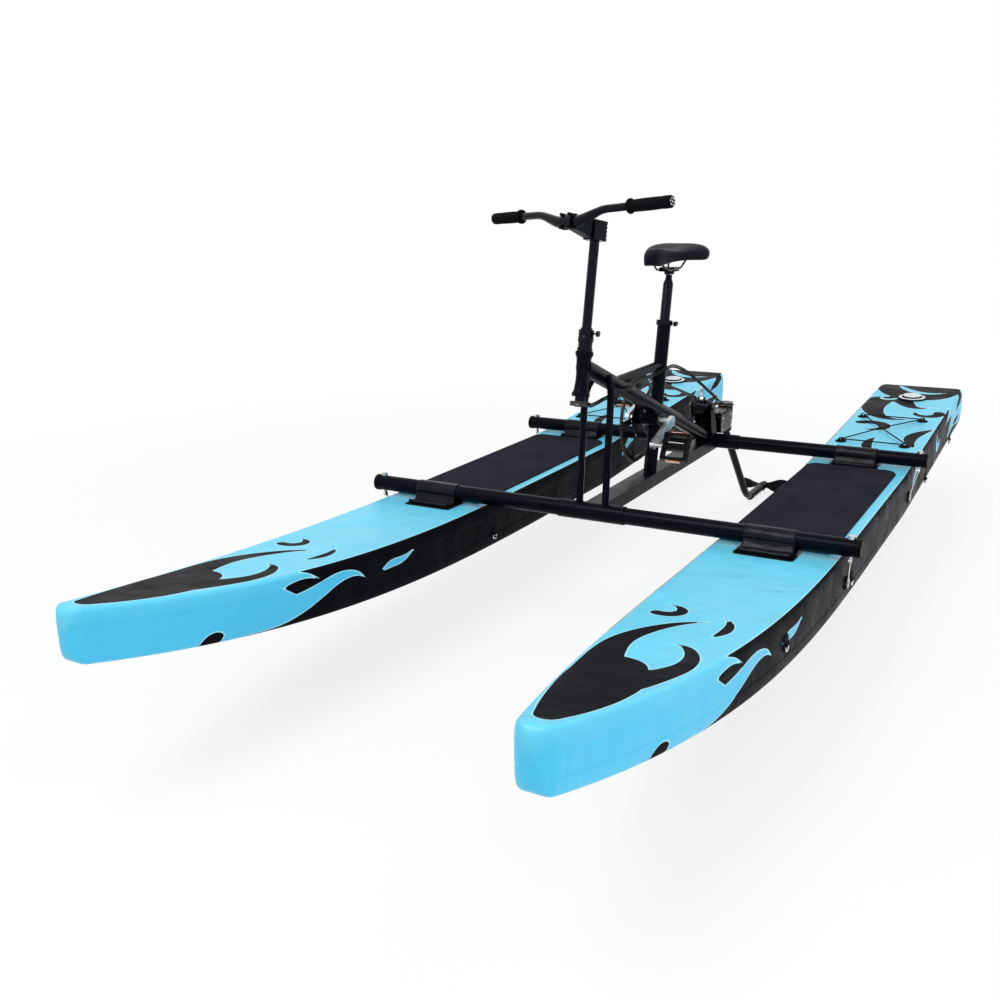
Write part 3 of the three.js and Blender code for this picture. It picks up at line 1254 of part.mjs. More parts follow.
function propellerShape() {
  const { hub, length, shaft: axle, shaftLength } = propeller;
  const profile = hubShares.map(([out, along]) => [hub * out, length * along]);
  const body = between(turned(profile), [0, -length / 2, 0], [0, length, 0]);
  return join(
    body,
    rod([0, -length / 2 - shaftLength, 0], [0, 0, 0], axle, 14),
    bladeShape(1),
    bladeShape(-1),
  );
}

function cableShape() {
  return join(...[cableRoute, cableLeft, cableRight].map((route) => sweep(route, cableRadius, 6)));
}

function makeDrive() {
  piece("drive_bracket", bracketShape(), blackPaint);
  piece("drive_housing", housingShape(), blackAlloy);
  piece("release_lever", releaseShape(), brightSteel).position.set(0, drive.y + release.y, drive.z + release.z);
  piece("drive_leg", legShape(), blackPaint);
  const rearDrum = piece("rear_cable_drum", drumShape(swivel.spindle + clearance, 0), darkSteel);
  rearDrum.position.set(0, swivel.y, swivel.bossTop + clearance * 2);
  const screw = piece("propeller", propellerShape(), blackPlastic);
  screw.position.set(0, leg.end + clearance * 2 + propeller.length / 2, leg.kneeZ);
  piece("steering_cable", cableShape(), blackPlastic);
}

makePontoons();
makeFrame();
makeSteering();
makeSeat();
makeCranks();
makeDrive();

export default bike;
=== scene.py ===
# %% [markdown]
# # A pontoon water bike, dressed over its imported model
# Two inflatable pontoons carry a welded frame, a chain drive and a swivelling drive leg.
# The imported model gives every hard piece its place, so this lesson adds what a camera sees:
# finishes, cords, foam, vinyl, a padded saddle and a riveted chain.

# %% Load the frame
import json
import math
import bmesh
import bpy
import numpy as np
from mathutils import Matrix, Vector


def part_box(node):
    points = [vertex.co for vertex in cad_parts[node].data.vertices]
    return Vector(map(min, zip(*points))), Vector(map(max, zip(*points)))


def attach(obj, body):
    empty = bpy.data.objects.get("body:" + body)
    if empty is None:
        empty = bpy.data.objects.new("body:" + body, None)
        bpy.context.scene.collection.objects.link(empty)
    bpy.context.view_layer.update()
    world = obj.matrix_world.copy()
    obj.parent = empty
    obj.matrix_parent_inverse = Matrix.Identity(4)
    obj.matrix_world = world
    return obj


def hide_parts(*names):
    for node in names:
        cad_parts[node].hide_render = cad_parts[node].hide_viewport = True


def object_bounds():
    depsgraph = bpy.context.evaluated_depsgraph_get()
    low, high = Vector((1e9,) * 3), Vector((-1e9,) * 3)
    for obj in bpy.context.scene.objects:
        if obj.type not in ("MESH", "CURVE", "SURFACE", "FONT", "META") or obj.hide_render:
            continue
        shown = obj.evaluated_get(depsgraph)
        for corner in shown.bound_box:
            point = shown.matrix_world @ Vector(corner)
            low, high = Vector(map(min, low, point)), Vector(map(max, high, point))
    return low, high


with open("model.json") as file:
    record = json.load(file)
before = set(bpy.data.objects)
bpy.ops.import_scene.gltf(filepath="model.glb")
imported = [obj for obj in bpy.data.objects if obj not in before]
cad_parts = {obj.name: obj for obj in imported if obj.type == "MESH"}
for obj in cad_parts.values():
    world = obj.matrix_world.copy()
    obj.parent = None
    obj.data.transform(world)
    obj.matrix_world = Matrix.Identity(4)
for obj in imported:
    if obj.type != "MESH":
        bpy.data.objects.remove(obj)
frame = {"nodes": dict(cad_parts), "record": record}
cad_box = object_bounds()
nodes = frame["nodes"]
scene = bpy.context.scene

# %% [markdown]
# ## The camera
# A camera is a place, a heading and a lens. These came from lining up known points of the
# bike with the photograph, such as the bar ends and the tips of the bows.

# %% Camera
CAMERA_PLACE = (1.3223, -3.4355, 1.1224)
CAMERA_HEADING = math.radians(29.793)  # from +Y towards -X
CAMERA_FALL = math.radians(15.803)  # below the horizon
CAMERA_ROLL = math.radians(-0.847)
CAMERA_LENS = 38.57


def add_object(name, data):
    """A new object of the scene, at the origin."""
    thing = bpy.data.objects.new(name, data)
    scene.collection.objects.link(thing)
    return thing


camera = add_object("camera", bpy.data.cameras.new("camera"))
camera.data.lens = CAMERA_LENS
camera.data.sensor_width = 36.0
turn = Matrix.Rotation(CAMERA_HEADING, 4, "Z") @ Matrix.Rotation(math.pi / 2 - CAMERA_FALL, 4, "X")
camera.matrix_world = Matrix.Translation(CAMERA_PLACE) @ turn @ Matrix.Rotation(CAMERA_ROLL, 4, "Z")
scene.camera = camera

# %% [markdown]
# ## Small tools
# A mesh can be written as rings of points that are joined like a ladder wound round a form.
# This is how hulls, foam and saddles are drawn in a boat or bike shop too: by sections.

# %% Mesh tools
SIDES = ((1, "left"), (-1, "right"))
DOUBLE = 1e-6  # points nearer than this are one point
SHARP = math.radians(32)  # an edge that turns more than this stays sharp
AXIS = 0.0001  # a turned form starts and ends at this radius, where a fan closes it


def plain_mesh(name, points, faces):
    mesh = bpy.data.meshes.new(name)
    mesh.from_pydata([tuple(p) for p in points], [], faces)
    return mesh


def turned_out(mesh, merge=True):
    """The mesh with its doubled points merged, if asked, and then its faces turned outwards."""
    work = bmesh.new()
    work.from_mesh(mesh)
    if merge:
        bmesh.ops.remove_doubles(work, verts=work.verts, dist=DOUBLE)
    bmesh.ops.recalc_face_normals(work, faces=work.faces)
    work.to_mesh(mesh)
    work.free()
    return mesh


def place_piece(name, mesh, material, body, smooth=True, crisp=False):
    """A mesh as a shown piece that rides on a body. A crisp one keeps its sharp edges sharp."""
    piece = add_object(name, mesh)
    mesh.materials.append(material)
    if smooth:
        mesh.shade_smooth()
    if crisp:
        mesh.set_sharp_from_angle(angle=SHARP)
    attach(piece, body)
    return piece


def mesh_piece(name, points, faces, material, body, smooth=True, crisp=False):
    """A closed form as a shown piece."""
    mesh = turned_out(plain_mesh(name, points, faces))
    return place_piece(name, mesh, material, body, smooth, crisp)


def shape_mesh(name, points, faces):
    """A closed form as a loose mesh, to be copied."""
    mesh = turned_out(plain_mesh(name, points, faces))
    mesh.shade_smooth()
    mesh.set_sharp_from_angle(angle=SHARP)
    return mesh


def ladder(rings, closed=False):
    """Points and faces of rings joined in turn, closed by a fan at each end."""
    count = len(rings[0])
    points = [p for ring in rings for p in ring]
    faces = []
    for i in range(len(rings) - (0 if closed else 1)):
        here, after = i * count, ((i + 1) % len(rings)) * count
        for j in range(count):
            k = (j + 1) % count
            faces.append((here + j, here + k, after + k, after + j))
    if not closed:
        for start in (0, (len(rings) - 1) * count):
            middle = np.mean(np.array(points[start:start + count], dtype=float), axis=0)
            points.append(tuple(middle))
            for j in range(count):
                faces.append((start + j, start + (j + 1) % count, len(points) - 1))
    return points, faces


def joined(*forms):
    """Points and faces of several forms in one."""
    points, faces = [], []
    for more, more_faces in forms:
        faces += [tuple(len(points) + k for k in face) for face in more_faces]
        points += more
    return points, faces


def circle(radius, sides):
    """Points of a circle, as pairs."""
    turns = [2 * math.pi * i / sides for i in range(sides)]
    return [(radius * math.cos(a), radius * math.sin(a)) for a in turns]


def lathe(profile, sides):
    """Rings of a turned form about Z, from pairs of radius and height."""
    return [[(x, y, z) for x, y in circle(r, sides)] for r, z in profile]


def moved(points, matrix):
    """Points after a matrix, as plain tuples."""
    return [tuple(matrix @ Vector(p)) for p in points]


def fillet(points, reach, steps=6, closed=False):
    """A line whose corners are rounded from a given distance before each to the same after it."""
    line = [Vector(p) for p in points]
    out = [] if closed else [line[0]]
    order = range(len(line)) if closed else range(1, len(line) - 1)
    for i in order:
        corner = line[i]
        before, after = line[i - 1] - corner, line[(i + 1) % len(line)] - corner
        start = corner + before.normalized() * min(reach, before.length / 2.01)
        end = corner + after.normalized() * min(reach, after.length / 2.01)
        for k in range(steps + 1):
            t = k / steps
            out.append(start * (1 - t) ** 2 + corner * 2 * t * (1 - t) + end * t ** 2)
    if not closed:
        out.append(line[-1])
    return [tuple(p) for p in out]


def eased(points, rounds=3):
    """A line whose corners are cut again and again until it bends evenly."""
    line = [Vector(p) for p in points]
    for _ in range(rounds):
        cut = [line[0]]
        for a, b in zip(line, line[1:]):
            cut += [a.lerp(b, 0.25), a.lerp(b, 0.75)]
        line = cut + [line[-1]]
    return [tuple(p) for p in line]


def line_length(points):
    return sum((Vector(b) - Vector(a)).length for a, b in zip(points, points[1:]))


# %% [markdown]
# ## Geometry Nodes trees
# One tree turns a line into a round tube, one sets copies of a shape on points and turns them
# along a direction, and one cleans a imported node: it merges its loose triangles and keeps its
# sharp edges sharp. Each has named inputs, so it works like a tool with a few dials.


# %% Geometry Nodes tools
def new_tree(name, inputs, kinds):
    """A tree with the inputs {name: (kind, value)}, and its nodes, from {short name: kind}."""
    tree = bpy.data.node_groups.new(name, "GeometryNodeTree")
    for way in ("INPUT", "OUTPUT"):
        tree.interface.new_socket("Geometry", in_out=way, socket_type="NodeSocketGeometry")
    for title, (kind, value) in inputs.items():
        socket = tree.interface.new_socket(title, in_out="INPUT", socket_type="NodeSocket" + kind)
        if value is not None:
            socket.default_value = value
    kinds = {"start": "NodeGroupInput", "end": "NodeGroupOutput", **kinds}
    return tree, {title: tree.nodes.new(kind) for title, kind in kinds.items()}


def wire(tree, n, lines):
    """Links a tree's nodes by lines such as: circle.Curve > sweep.Profile Curve."""
    for line in lines.strip().splitlines():
        (giver, out), (taker, into) = (end.strip().split(".") for end in line.split(">"))
        tree.links.new(n[giver].outputs[out], n[taker].inputs[into])


def grown(name, source, tree, values, body):
    """The mesh that a tree makes of a source object, as a plain piece on a body."""
    modifier = source.modifiers.new("tree", "NODES")
    modifier.node_group = tree
    for item in tree.interface.items_tree:
        if item.in_out == "INPUT" and item.name in values:
            modifier[item.identifier] = values[item.name]
    bpy.context.view_layer.update()
    seen = source.evaluated_get(bpy.context.evaluated_depsgraph_get())
    mesh = bpy.data.meshes.new_from_object(seen)
    mesh.name = name
    bpy.data.objects.remove(source)
    piece = add_object(name, mesh)
    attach(piece, body)
    return piece


TUBE, n = new_tree(
    "tube along a line",
    {"Radius": ("Float", 0.003), "Sides": ("Int", 12), "Material": ("Material", None)},
    {"circle": "GeometryNodeCurvePrimitiveCircle", "sweep": "GeometryNodeCurveToMesh",
     "smooth": "GeometryNodeSetShadeSmooth", "real": "GeometryNodeRealizeInstances",
     "paint": "GeometryNodeSetMaterial"})
n["sweep"].inputs["Fill Caps"].default_value = True
wire(TUBE, n, """
    start.Sides > circle.Resolution
    start.Radius > circle.Radius
    start.Geometry > sweep.Curve
    circle.Curve > sweep.Profile Curve
    sweep.Mesh > smooth.Geometry
    smooth.Geometry > real.Geometry
    real.Geometry > paint.Geometry
    start.Material > paint.Material
    paint.Geometry > end.Geometry""")

# Each copy's Z lies along its point's own 'way', and its X along the point's 'side'
COPIES, n = new_tree(
    "copies on points", {"Shape": ("Object", None), "Material": ("Material", None)},
    {"shape": "GeometryNodeObjectInfo", "way": "GeometryNodeInputNamedAttribute",
     "side": "GeometryNodeInputNamedAttribute", "turn": "FunctionNodeAlignRotationToVector",
     "roll": "FunctionNodeAlignRotationToVector", "copy": "GeometryNodeInstanceOnPoints",
     "real": "GeometryNodeRealizeInstances", "paint": "GeometryNodeSetMaterial"})
for title in ("way", "side"):
    n[title].data_type = "FLOAT_VECTOR"
    n[title].inputs["Name"].default_value = title
n["turn"].axis = "Z"
n["roll"].axis = "X"
n["roll"].pivot_axis = "Z"
wire(COPIES, n, """
    start.Shape > shape.Object
    way.Attribute > turn.Vector
    turn.Rotation > roll.Rotation
    side.Attribute > roll.Vector
    start.Geometry > copy.Points
    shape.Geometry > copy.Instance
    roll.Rotation > copy.Rotation
    copy.Instances > real.Geometry
    real.Geometry > paint.Geometry
    start.Material > paint.Material
    paint.Geometry > end.Geometry""")

MERGE = 1e-5  # packed points nearer than this are one point
CLEAN, n = new_tree(
    "merge and shade", {"Distance": ("Float", MERGE), "Sharp angle": ("Float", SHARP)},
    {"flat": "GeometryNodeRemoveAttribute", "merge": "GeometryNodeMergeByDistance",
     "faces": "GeometryNodeSetShadeSmooth", "angle": "GeometryNodeInputMeshEdgeAngle",
     "over": "FunctionNodeCompare", "edges": "GeometryNodeSetShadeSmooth"})
n["flat"].inputs["Name"].default_value = "custom_normal"
n["over"].data_type = "FLOAT"
n["over"].operation = "GREATER_THAN"
n["edges"].domain = "EDGE"
n["edges"].inputs["Shade Smooth"].default_value = False
wire(CLEAN, n, """
    start.Geometry > flat.Geometry
    flat.Geometry > merge.Geometry
    start.Distance > merge.Distance
    merge.Geometry > faces.Geometry
    angle.Unsigned Angle > over.A
    start.Sharp angle > over.B
    faces.Geometry > edges.Geometry
    over.Result > edges.Selection
    edges.Geometry > end.Geometry""")


def tube(name, points, radius, material, body, sides=12, closed=False):
    """A round tube along a line of points."""
    data = bpy.data.curves.new(name, "CURVE")
    data.dimensions = "3D"
    spline = data.splines.new("POLY")
    spline.points.add(len(points) - 1)
    for point, place in zip(spline.points, points):
        point.co = (*place, 1.0)
    spline.use_cyclic_u = closed
    line = add_object(name + "_line", data)
    return grown(name, line, TUBE, {"Radius": radius, "Sides": sides, "Material": material}, body)


def copies(name, places, ways, sides, shape, material, body):
    """A shape's mesh at each place, with Z along its way and X along its side: a list, or one for all."""
    mesh = plain_mesh(name + "_points", places, [])
    for title, values in (("way", ways), ("side", sides)):
        values = values if isinstance(values, list) else [values] * len(places)
        attribute = mesh.attributes.new(title, "FLOAT_VECTOR", "POINT")
        for item, value in zip(attribute.data, values):
            item.vector = value
    spots = add_object(name + "_points", mesh)
    pattern = add_object(name + "_shape", shape)
    piece = grown(name, spots, COPIES, {"Shape": pattern, "Material": material}, body)
    bpy.data.objects.remove(pattern)
    return piece


# %% [markdown]
# ## Finishes
# A real finish is never one colour. Each material here starts from the shader's plain values
# and adds uneven tone, uneven gloss and a fine relief, all on Object coordinates in metres.

# %% Material tools
DRIFT = (0.3, 0.7)  # the middle of a noise's range, where most of it lies


def link(tree, value, socket):
    """Links an output to a socket, or sets a plain value on it."""
    if hasattr(value, "node"):
        tree.links.new(value, socket)
    else:
        socket.default_value = value


def new_node(tree, kind, inputs):
    """A new shader node with its inputs linked or set."""
    node = tree.nodes.new("ShaderNode" + kind)
    for title, value in inputs.items():
        link(tree, value, node.inputs[title])
    return node


def scaled(colour, factor):
    """A colour made lighter or darker."""
    return tuple(min(1.0, c * factor) for c in colour)


class Surface:
    """A material under construction, with short ways to add pattern nodes."""

    def __init__(self, name, colour, roughness, **sockets):
        self.material = bpy.data.materials.new(name)
        self.material.use_nodes = True
        self.tree = self.material.node_tree
        self.shader = self.tree.nodes["Principled BSDF"]
        for title, value in {"Base Color": (*colour, 1), "Roughness": roughness, **sockets}.items():
            self.shader.inputs[title.replace("_", " ")].default_value = value
        self.place = self.add("TexCoord", {}).outputs["Object"]
        self.height = None

    def add(self, kind, inputs):
        return new_node(self.tree, kind, inputs)

    def math(self, operation, a, b=0.0):
        node = self.add("Math", {0: a, 1: b})
        node.operation = operation
        return node.outputs[0]

    def stretched(self, scale):
        return self.add("Mapping", {"Vector": self.place, "Scale": scale}).outputs[0]

    def noise(self, scale, detail=3.0, vector=None, distortion=0.0):
        inputs = {"Vector": vector or self.place, "Scale": scale, "Detail": detail, "Distortion": distortion}
        return self.add("TexNoise", inputs).outputs["Fac"]

    def cells(self, scale, feature="F1"):
        node = self.add("TexVoronoi", {"Vector": self.place, "Scale": scale})
        node.feature = feature
        return node.outputs["Distance"]

    def waves(self, scale, direction, vector=None):
        node = self.add("TexWave", {"Vector": vector or self.place, "Scale": scale})
        node.bands_direction = direction
        return node.outputs["Fac"]

    def span(self, value, low, high, to_low=0.0, to_high=1.0):
        """A value's range stretched to another range, and kept inside it."""
        inputs = {"Value": value, "From Min": low, "From Max": high, "To Min": to_low, "To Max": to_high}
        return self.add("MapRange", inputs).outputs["Result"]

    def mix(self, share, a, b):
        node = self.add("Mix", {})
        node.data_type = "RGBA"
        for index, value in ((0, share), (6, a), (7, b)):
            link(self.tree, (*value, 1) if isinstance(value, tuple) else value, node.inputs[index])
        return node.outputs[2]

    def mix_value(self, share, a, b):
        return self.span(share, 0.0, 1.0, a, b)

    def drift(self, pattern, a, b):
        """Two numbers or two colours that a noise drifts between."""
        if isinstance(a, tuple):
            return self.mix(self.span(pattern, *DRIFT), a, b)
        return self.span(pattern, *DRIFT, a, b)

    def attribute(self, name):
        node = self.add("Attribute", {})
        node.attribute_name = name
        return node.outputs["Fac"]

    def axis(self, name):
        return self.add("SeparateXYZ", {0: self.place}).outputs[name]

    def colour(self, value):
        self.tree.links.new(value, self.shader.inputs["Base Color"])

    def shine(self, value):
        self.tree.links.new(value, self.shader.inputs["Specular IOR Level"])

    def gloss(self, value):
        self.tree.links.new(value, self.shader.inputs["Roughness"])

    def relief(self, value, depth):
        """Adds a relief of that depth in metres to the surface's bump."""
        inputs = {"Strength": 1.0, "Distance": depth, "Height": value}
        if self.height:
            inputs["Normal"] = self.height
        self.height = self.add("Bump", inputs).outputs["Normal"]
        self.tree.links.new(self.height, self.shader.inputs["Normal"])


def worn(name, colour, worn_colour, roughness, spread, depth, grain, **sockets):
    """A finish with cloudy tone, uneven gloss, small scuffs and a fine relief."""
    s = Surface(name, colour, roughness, **sockets)
    clouds = s.noise(14.0, 4.0)
    scuffs = s.span(s.noise(60.0, 8.0, s.stretched((1.0, 0.25, 1.0))), 0.66, 0.74)
    tone = s.drift(clouds, colour, scaled(colour, 1.35))
    s.colour(s.mix(s.math("MULTIPLY", scuffs, 0.35), tone, worn_colour))
    s.gloss(s.math("ADD", s.drift(clouds, roughness - spread, roughness + spread),
                   s.math("MULTIPLY", scuffs, 0.12)))
    s.relief(s.noise(grain, 2.0), depth)
    return s.material


# %% [markdown]
# The frame is powder coated: black, glossy, with the faint orange peel of baked powder.
# Bars, posts and clamps are anodised alloy, which is satin and shows fine drawing lines.

# %% Hard finishes
SCUFFED = (0.012, 0.012, 0.012)

black_paint = worn("black_paint", (0.0020, 0.0022, 0.0040), (0.012, 0.012, 0.016), 0.26, 0.05, 0.00012,
                   420.0, Specular_IOR_Level=0.05, Specular_Tint=(0.75, 0.82, 1.0, 1.0))
black_plastic = worn("black_plastic", (0.0024, 0.0024, 0.0032), SCUFFED, 0.42, 0.06, 0.0002, 1400.0,
                     Specular_IOR_Level=0.04)
black_rubber = worn("black_rubber", (0.0030, 0.0030, 0.0040), SCUFFED, 0.62, 0.06, 0.0003, 1600.0,
                    Specular_IOR_Level=0.03)
white_plastic = worn("white_plastic", (0.55, 0.57, 0.58), (0.3, 0.3, 0.3), 0.45, 0.06, 0.0002, 1200.0)


def drawn_metal(name, colour, roughness, metallic, direction=(1.0, 1.0, 1.0)):
    """Metal with fine lines from drawing or turning, and cloudy gloss."""
    s = Surface(name, colour, roughness, Metallic=metallic)
    lines = s.noise(700.0, 3.0, s.stretched(direction))
    s.colour(s.drift(lines, scaled(colour, 0.85), scaled(colour, 1.15)))
    s.gloss(s.drift(s.noise(22.0, 4.0), roughness - 0.07, roughness + 0.09))
    s.relief(lines, 0.00005)
    return s.material


black_alloy = drawn_metal("black_alloy", (0.008, 0.0085, 0.012), 0.28, 0.9, (1.0, 1.0, 0.06))
silver_alloy = drawn_metal("silver_alloy", (0.62, 0.63, 0.64), 0.28, 1.0, (1.0, 0.1, 1.0))
bright_steel = drawn_metal("bright_steel", (0.75, 0.76, 0.77), 0.14, 1.0)
dark_steel = drawn_metal("dark_steel", (0.060, 0.058, 0.056), 0.36, 1.0)

s = Surface("orange_reflector", (0.75, 0.14, 0.01), 0.12, Coat_Weight=1.0)
prisms_and_glint = s.cells(330.0)
# Each prism is painted brighter in its middle and darker towards its edge: a painted glint
s.colour(s.mix(s.span(prisms_and_glint, 0.1, 0.7), (0.9, 0.22, 0.02), (0.5, 0.06, 0.0)))
s.relief(prisms_and_glint, 0.0008)
orange_reflector = s.material

# %% [markdown]
# ## Cords
# Steel steering cables run in a black outer cover from the drum under the head tube to the
# drum on the leg. The deck cords are elastic, in a woven black sheath. Both are tubes along a
# line, and each one's length is measured from that line and printed.

# %% Cord finishes
s = Surface("cable_cover", (0.006, 0.006, 0.007), 0.40, Specular_IOR_Level=0.08)
s.colour(s.drift(s.noise(30.0), (0.004, 0.004, 0.005), (0.009, 0.009, 0.011)))
s.gloss(s.drift(s.noise(45.0), 0.34, 0.52))
s.relief(s.noise(1200.0, 2.0), 0.0001)
cable_cover = s.material

s = Surface("woven_sheath", (0.008, 0.008, 0.009), 0.75, Specular_IOR_Level=0.12)
other_way = s.stretched((-1.0, 1.0, 1.0))
weave_and_shade = s.math("MULTIPLY", s.waves(220.0, "DIAGONAL"), s.waves(220.0, "DIAGONAL", other_way))
# The colour follows the weave's height: yarn crowns are painted lighter and the gaps darker, a painted shade
# between the yarns
s.colour(s.mix(weave_and_shade, (0.004, 0.004, 0.005), (0.018, 0.018, 0.020)))
s.gloss(s.mix_value(weave_and_shade, 0.85, 0.6))
s.relief(weave_and_shade, 0.0004)
woven_sheath = s.material

# %% Steering cables
CABLE_RADIUS = 0.003
CABLE_ROUTE = [
    (0.0334, -0.650, 0.540), (0.025, -0.590, 0.536), (0.022, -0.526, 0.540), (0.030, -0.450, 0.541),
    (0.031, -0.400, 0.543), (0.030, -0.340, 0.546), (0.022, -0.290, 0.549), (0.008, -0.230, 0.548),
    (0.008, -0.084, 0.548), (0.014, -0.070, 0.551), (0.026, -0.025, 0.560), (0.028, 0.010, 0.562),
    (0.028, 0.049, 0.558), (0.028, 0.133, 0.534), (0.028, 0.234, 0.495), (0.028, 0.328, 0.452),
    (0.028, 0.415, 0.413), (0.028, 0.492, 0.378), (0.028, 0.532, 0.356),
]
CABLE_ENDS = {
    "left": [(0.031, 0.599, 0.329), (0.033, 0.655, 0.308), (0.0334, 0.715, 0.306)],
    "right": [(0.0, 0.590, 0.335), (-0.028, 0.650, 0.312), (-0.0334, 0.715, 0.306)],
}
CABLE_DROP = {"left": 0.0, "right": 0.0068}  # the right cable runs this far under the left one

for word, tail in CABLE_ENDS.items():
    line = eased([(x, y, z - CABLE_DROP[word]) for x, y, z in CABLE_ROUTE] + tail)
    cable = tube("steering_cable_" + word, line, CABLE_RADIUS, cable_cover, "frame", 14)
    if word == "left":
        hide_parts("steering_cable")
    print(word, "cable", round(line_length(line), 3), "m")

# %% [markdown]
# ## The hull's form
# A drop-stitch pontoon is two flat skins held apart by threads, with a taped wall round them.
# Its deck rises and narrows towards the bow and rises a little towards the stern. The same few
# numbers as in the part's source give its section at any place along its length.

# %% Hull form
HULL_CENTRE = 0.570
HULL_HALF = 0.184
HULL_THICK = 0.150
HULL_EDGE = 0.014
HULL_BULGE = 0.0025
BOW_START, BOW_LENGTH, BOW_RISE, BOW_NARROW = -0.259, 1.780, 0.141, 0.152
RISE_POWER, NARROW_POWER = 2.6, 3.2
NOSE_THIN, NOSE_ROUND = 0.015, 0.028
STERN_START, STERN_LENGTH, STERN_RISE, STERN_POWER = 0.441, 1.470, 0.085, 1.05
STERN_CORNER, STERN_EDGE = 0.052, 0.022
BOW_TIP = BOW_START - BOW_LENGTH
STERN_END = STERN_START + STERN_LENGTH
STATION_STEP, NOSE_STEPS, CORNER_STEPS = 0.012, 6, 8


def hull_at(y):
    """Height of the deck and of the keel, and half the width, at y."""
    forward = max(0.0, BOW_START - y) / BOW_LENGTH
    aft = max(0.0, y - STERN_START) / STERN_LENGTH
    rise = BOW_RISE * forward ** RISE_POWER + STERN_RISE * aft ** STERN_POWER
    return HULL_THICK + rise, rise + NOSE_THIN * forward, HULL_HALF - BOW_NARROW * forward ** NARROW_POWER


def deck_at(y):
    return hull_at(y)[0]


def hull_stations():
    """Places along the hull, each with how far its side and its faces draw in."""
    out = []
    for i in range(NOSE_STEPS + 1):
        angle = math.pi / 2 * (1 - i / NOSE_STEPS)
        inset = NOSE_ROUND * (1 - math.cos(angle))
        out.append((BOW_TIP + NOSE_ROUND * (1 - math.sin(angle)), inset, inset))
    start, end = BOW_TIP + NOSE_ROUND, STERN_END - STERN_CORNER
    count = round((end - start) / STATION_STEP)
    out += [(start + (end - start) * i / count, 0.0, 0.0) for i in range(1, count)]
    for i in range(CORNER_STEPS + 1):
        angle = math.pi / 2 * i / CORNER_STEPS
        y = STERN_END - STERN_CORNER * (1 - math.sin(angle))
        into = max(0.0, y - (STERN_END - STERN_EDGE)) / STERN_EDGE
        face = STERN_EDGE * (1 - math.sqrt(1 - min(1.0, into) ** 2))
        out.append((y, STERN_CORNER * (1 - math.cos(angle)), face))
    return out


# %% [markdown]
# ## The hull's colours
# The skin is printed before it is glued: a blue deck, near-black walls, and dark and light
# shapes at both ends. The shapes here are our own water waves: curls and drops, drawn as
# strokes that swell and taper. Each point of the hull stores how far inside a dark shape it
# lies, so that the material can draw a crisp edge and a pale outline wherever that is zero.

# %% Wave strokes
CURL_STEPS = 12


def stroke(points):
    """A stroke from (along, across, half width) triples, drawn smooth."""
    return np.array(eased(points))


def curl(along, across, size, thick, start, sweep, growth=1.0):
    """A wave curl: an arc that winds in, widest near its start and pointed at its end."""
    out = []
    for i in range(CURL_STEPS + 1):
        share = i / CURL_STEPS
        angle = math.radians(start + sweep * share)
        radius = size * (1 + (growth - 1) * share)
        width = thick * math.sin(math.pi * min(1.0, share * 0.62 + 0.38)) ** 0.8 + 0.0008
        out.append((along + radius * math.cos(angle), across + radius * math.sin(angle), width))
    return stroke(out)


def inside(strokes, along, across):
    """How far inside the nearest stroke each point lies, and below zero outside them all."""
    best = np.full(len(along), -1.0)
    place = np.stack([along, across], 1)
    for line in strokes:
        for a, b in zip(line, line[1:]):
            run = b[:2] - a[:2]
            share = np.clip(((place - a[:2]) @ run) / max(1e-9, run @ run), 0, 1)
            gap = np.linalg.norm(place - a[:2] - share[:, None] * run, axis=1)
            best = np.maximum(best, a[2] + (b[2] - a[2]) * share - gap)
    return best


# Along is the distance from the bow's tip, across is towards the rider's left
DECK_DARK = [
    stroke([(0.070, 0.0, 0.026), (0.15, 0.0, 0.052), (0.25, -0.004, 0.074), (0.35, -0.014, 0.084),
            (0.42, -0.030, 0.066)]),
    stroke([(0.38, -0.050, 0.050), (0.50, -0.082, 0.036), (0.60, -0.092, 0.026), (0.70, -0.066, 0.018),
            (0.78, -0.020, 0.009), (0.82, 0.030, 0.001)]),
    stroke([(0.34, 0.036, 0.040), (0.42, 0.066, 0.030), (0.49, 0.088, 0.021), (0.56, 0.085, 0.017),
            (0.62, 0.055, 0.012), (0.63, 0.020, 0.001)]),
    curl(0.86, -0.085, 0.040, 0.016, 200, -210, 0.8),
    stroke([(0.72, 0.070, 0.002), (0.77, 0.085, 0.014), (0.83, 0.080, 0.010), (0.87, 0.055, 0.001)]),
    stroke([(3.99, 0.0, 0.20), (3.80, 0.0, 0.17), (3.76, 0.06, 0.06)]),
    stroke([(3.62, -0.12, 0.055), (3.50, -0.135, 0.052), (3.38, -0.110, 0.040), (3.30, -0.060, 0.026),
            (3.28, 0.0, 0.012), (3.31, 0.05, 0.001)]),
    stroke([(3.68, -0.05, 0.05), (3.60, -0.02, 0.040), (3.52, 0.02, 0.026), (3.50, 0.07, 0.010),
            (3.53, 0.10, 0.001)]),
    curl(3.42, 0.100, 0.055, 0.022, 60, 230, 0.75),
    curl(3.14, -0.075, 0.070, 0.026, -40, 240, 0.7),
    stroke([(3.16, 0.165, 0.004), (3.10, 0.130, 0.022), (3.02, 0.105, 0.028), (2.93, 0.115, 0.018),
            (2.86, 0.150, 0.001)]),
    stroke([(2.98, -0.02, 0.001), (2.92, -0.035, 0.016), (2.84, -0.030, 0.022), (2.77, 0.0, 0.010),
            (2.75, 0.03, 0.001)]),
]
DECK_LIGHT = [
    stroke([(3.93, -0.10, 0.002), (3.86, -0.06, 0.016), (3.80, 0.0, 0.020), (3.79, 0.07, 0.012),
            (3.83, 0.13, 0.001)]),
    curl(3.66, -0.100, 0.034, 0.010, 100, 220, 0.8),
]
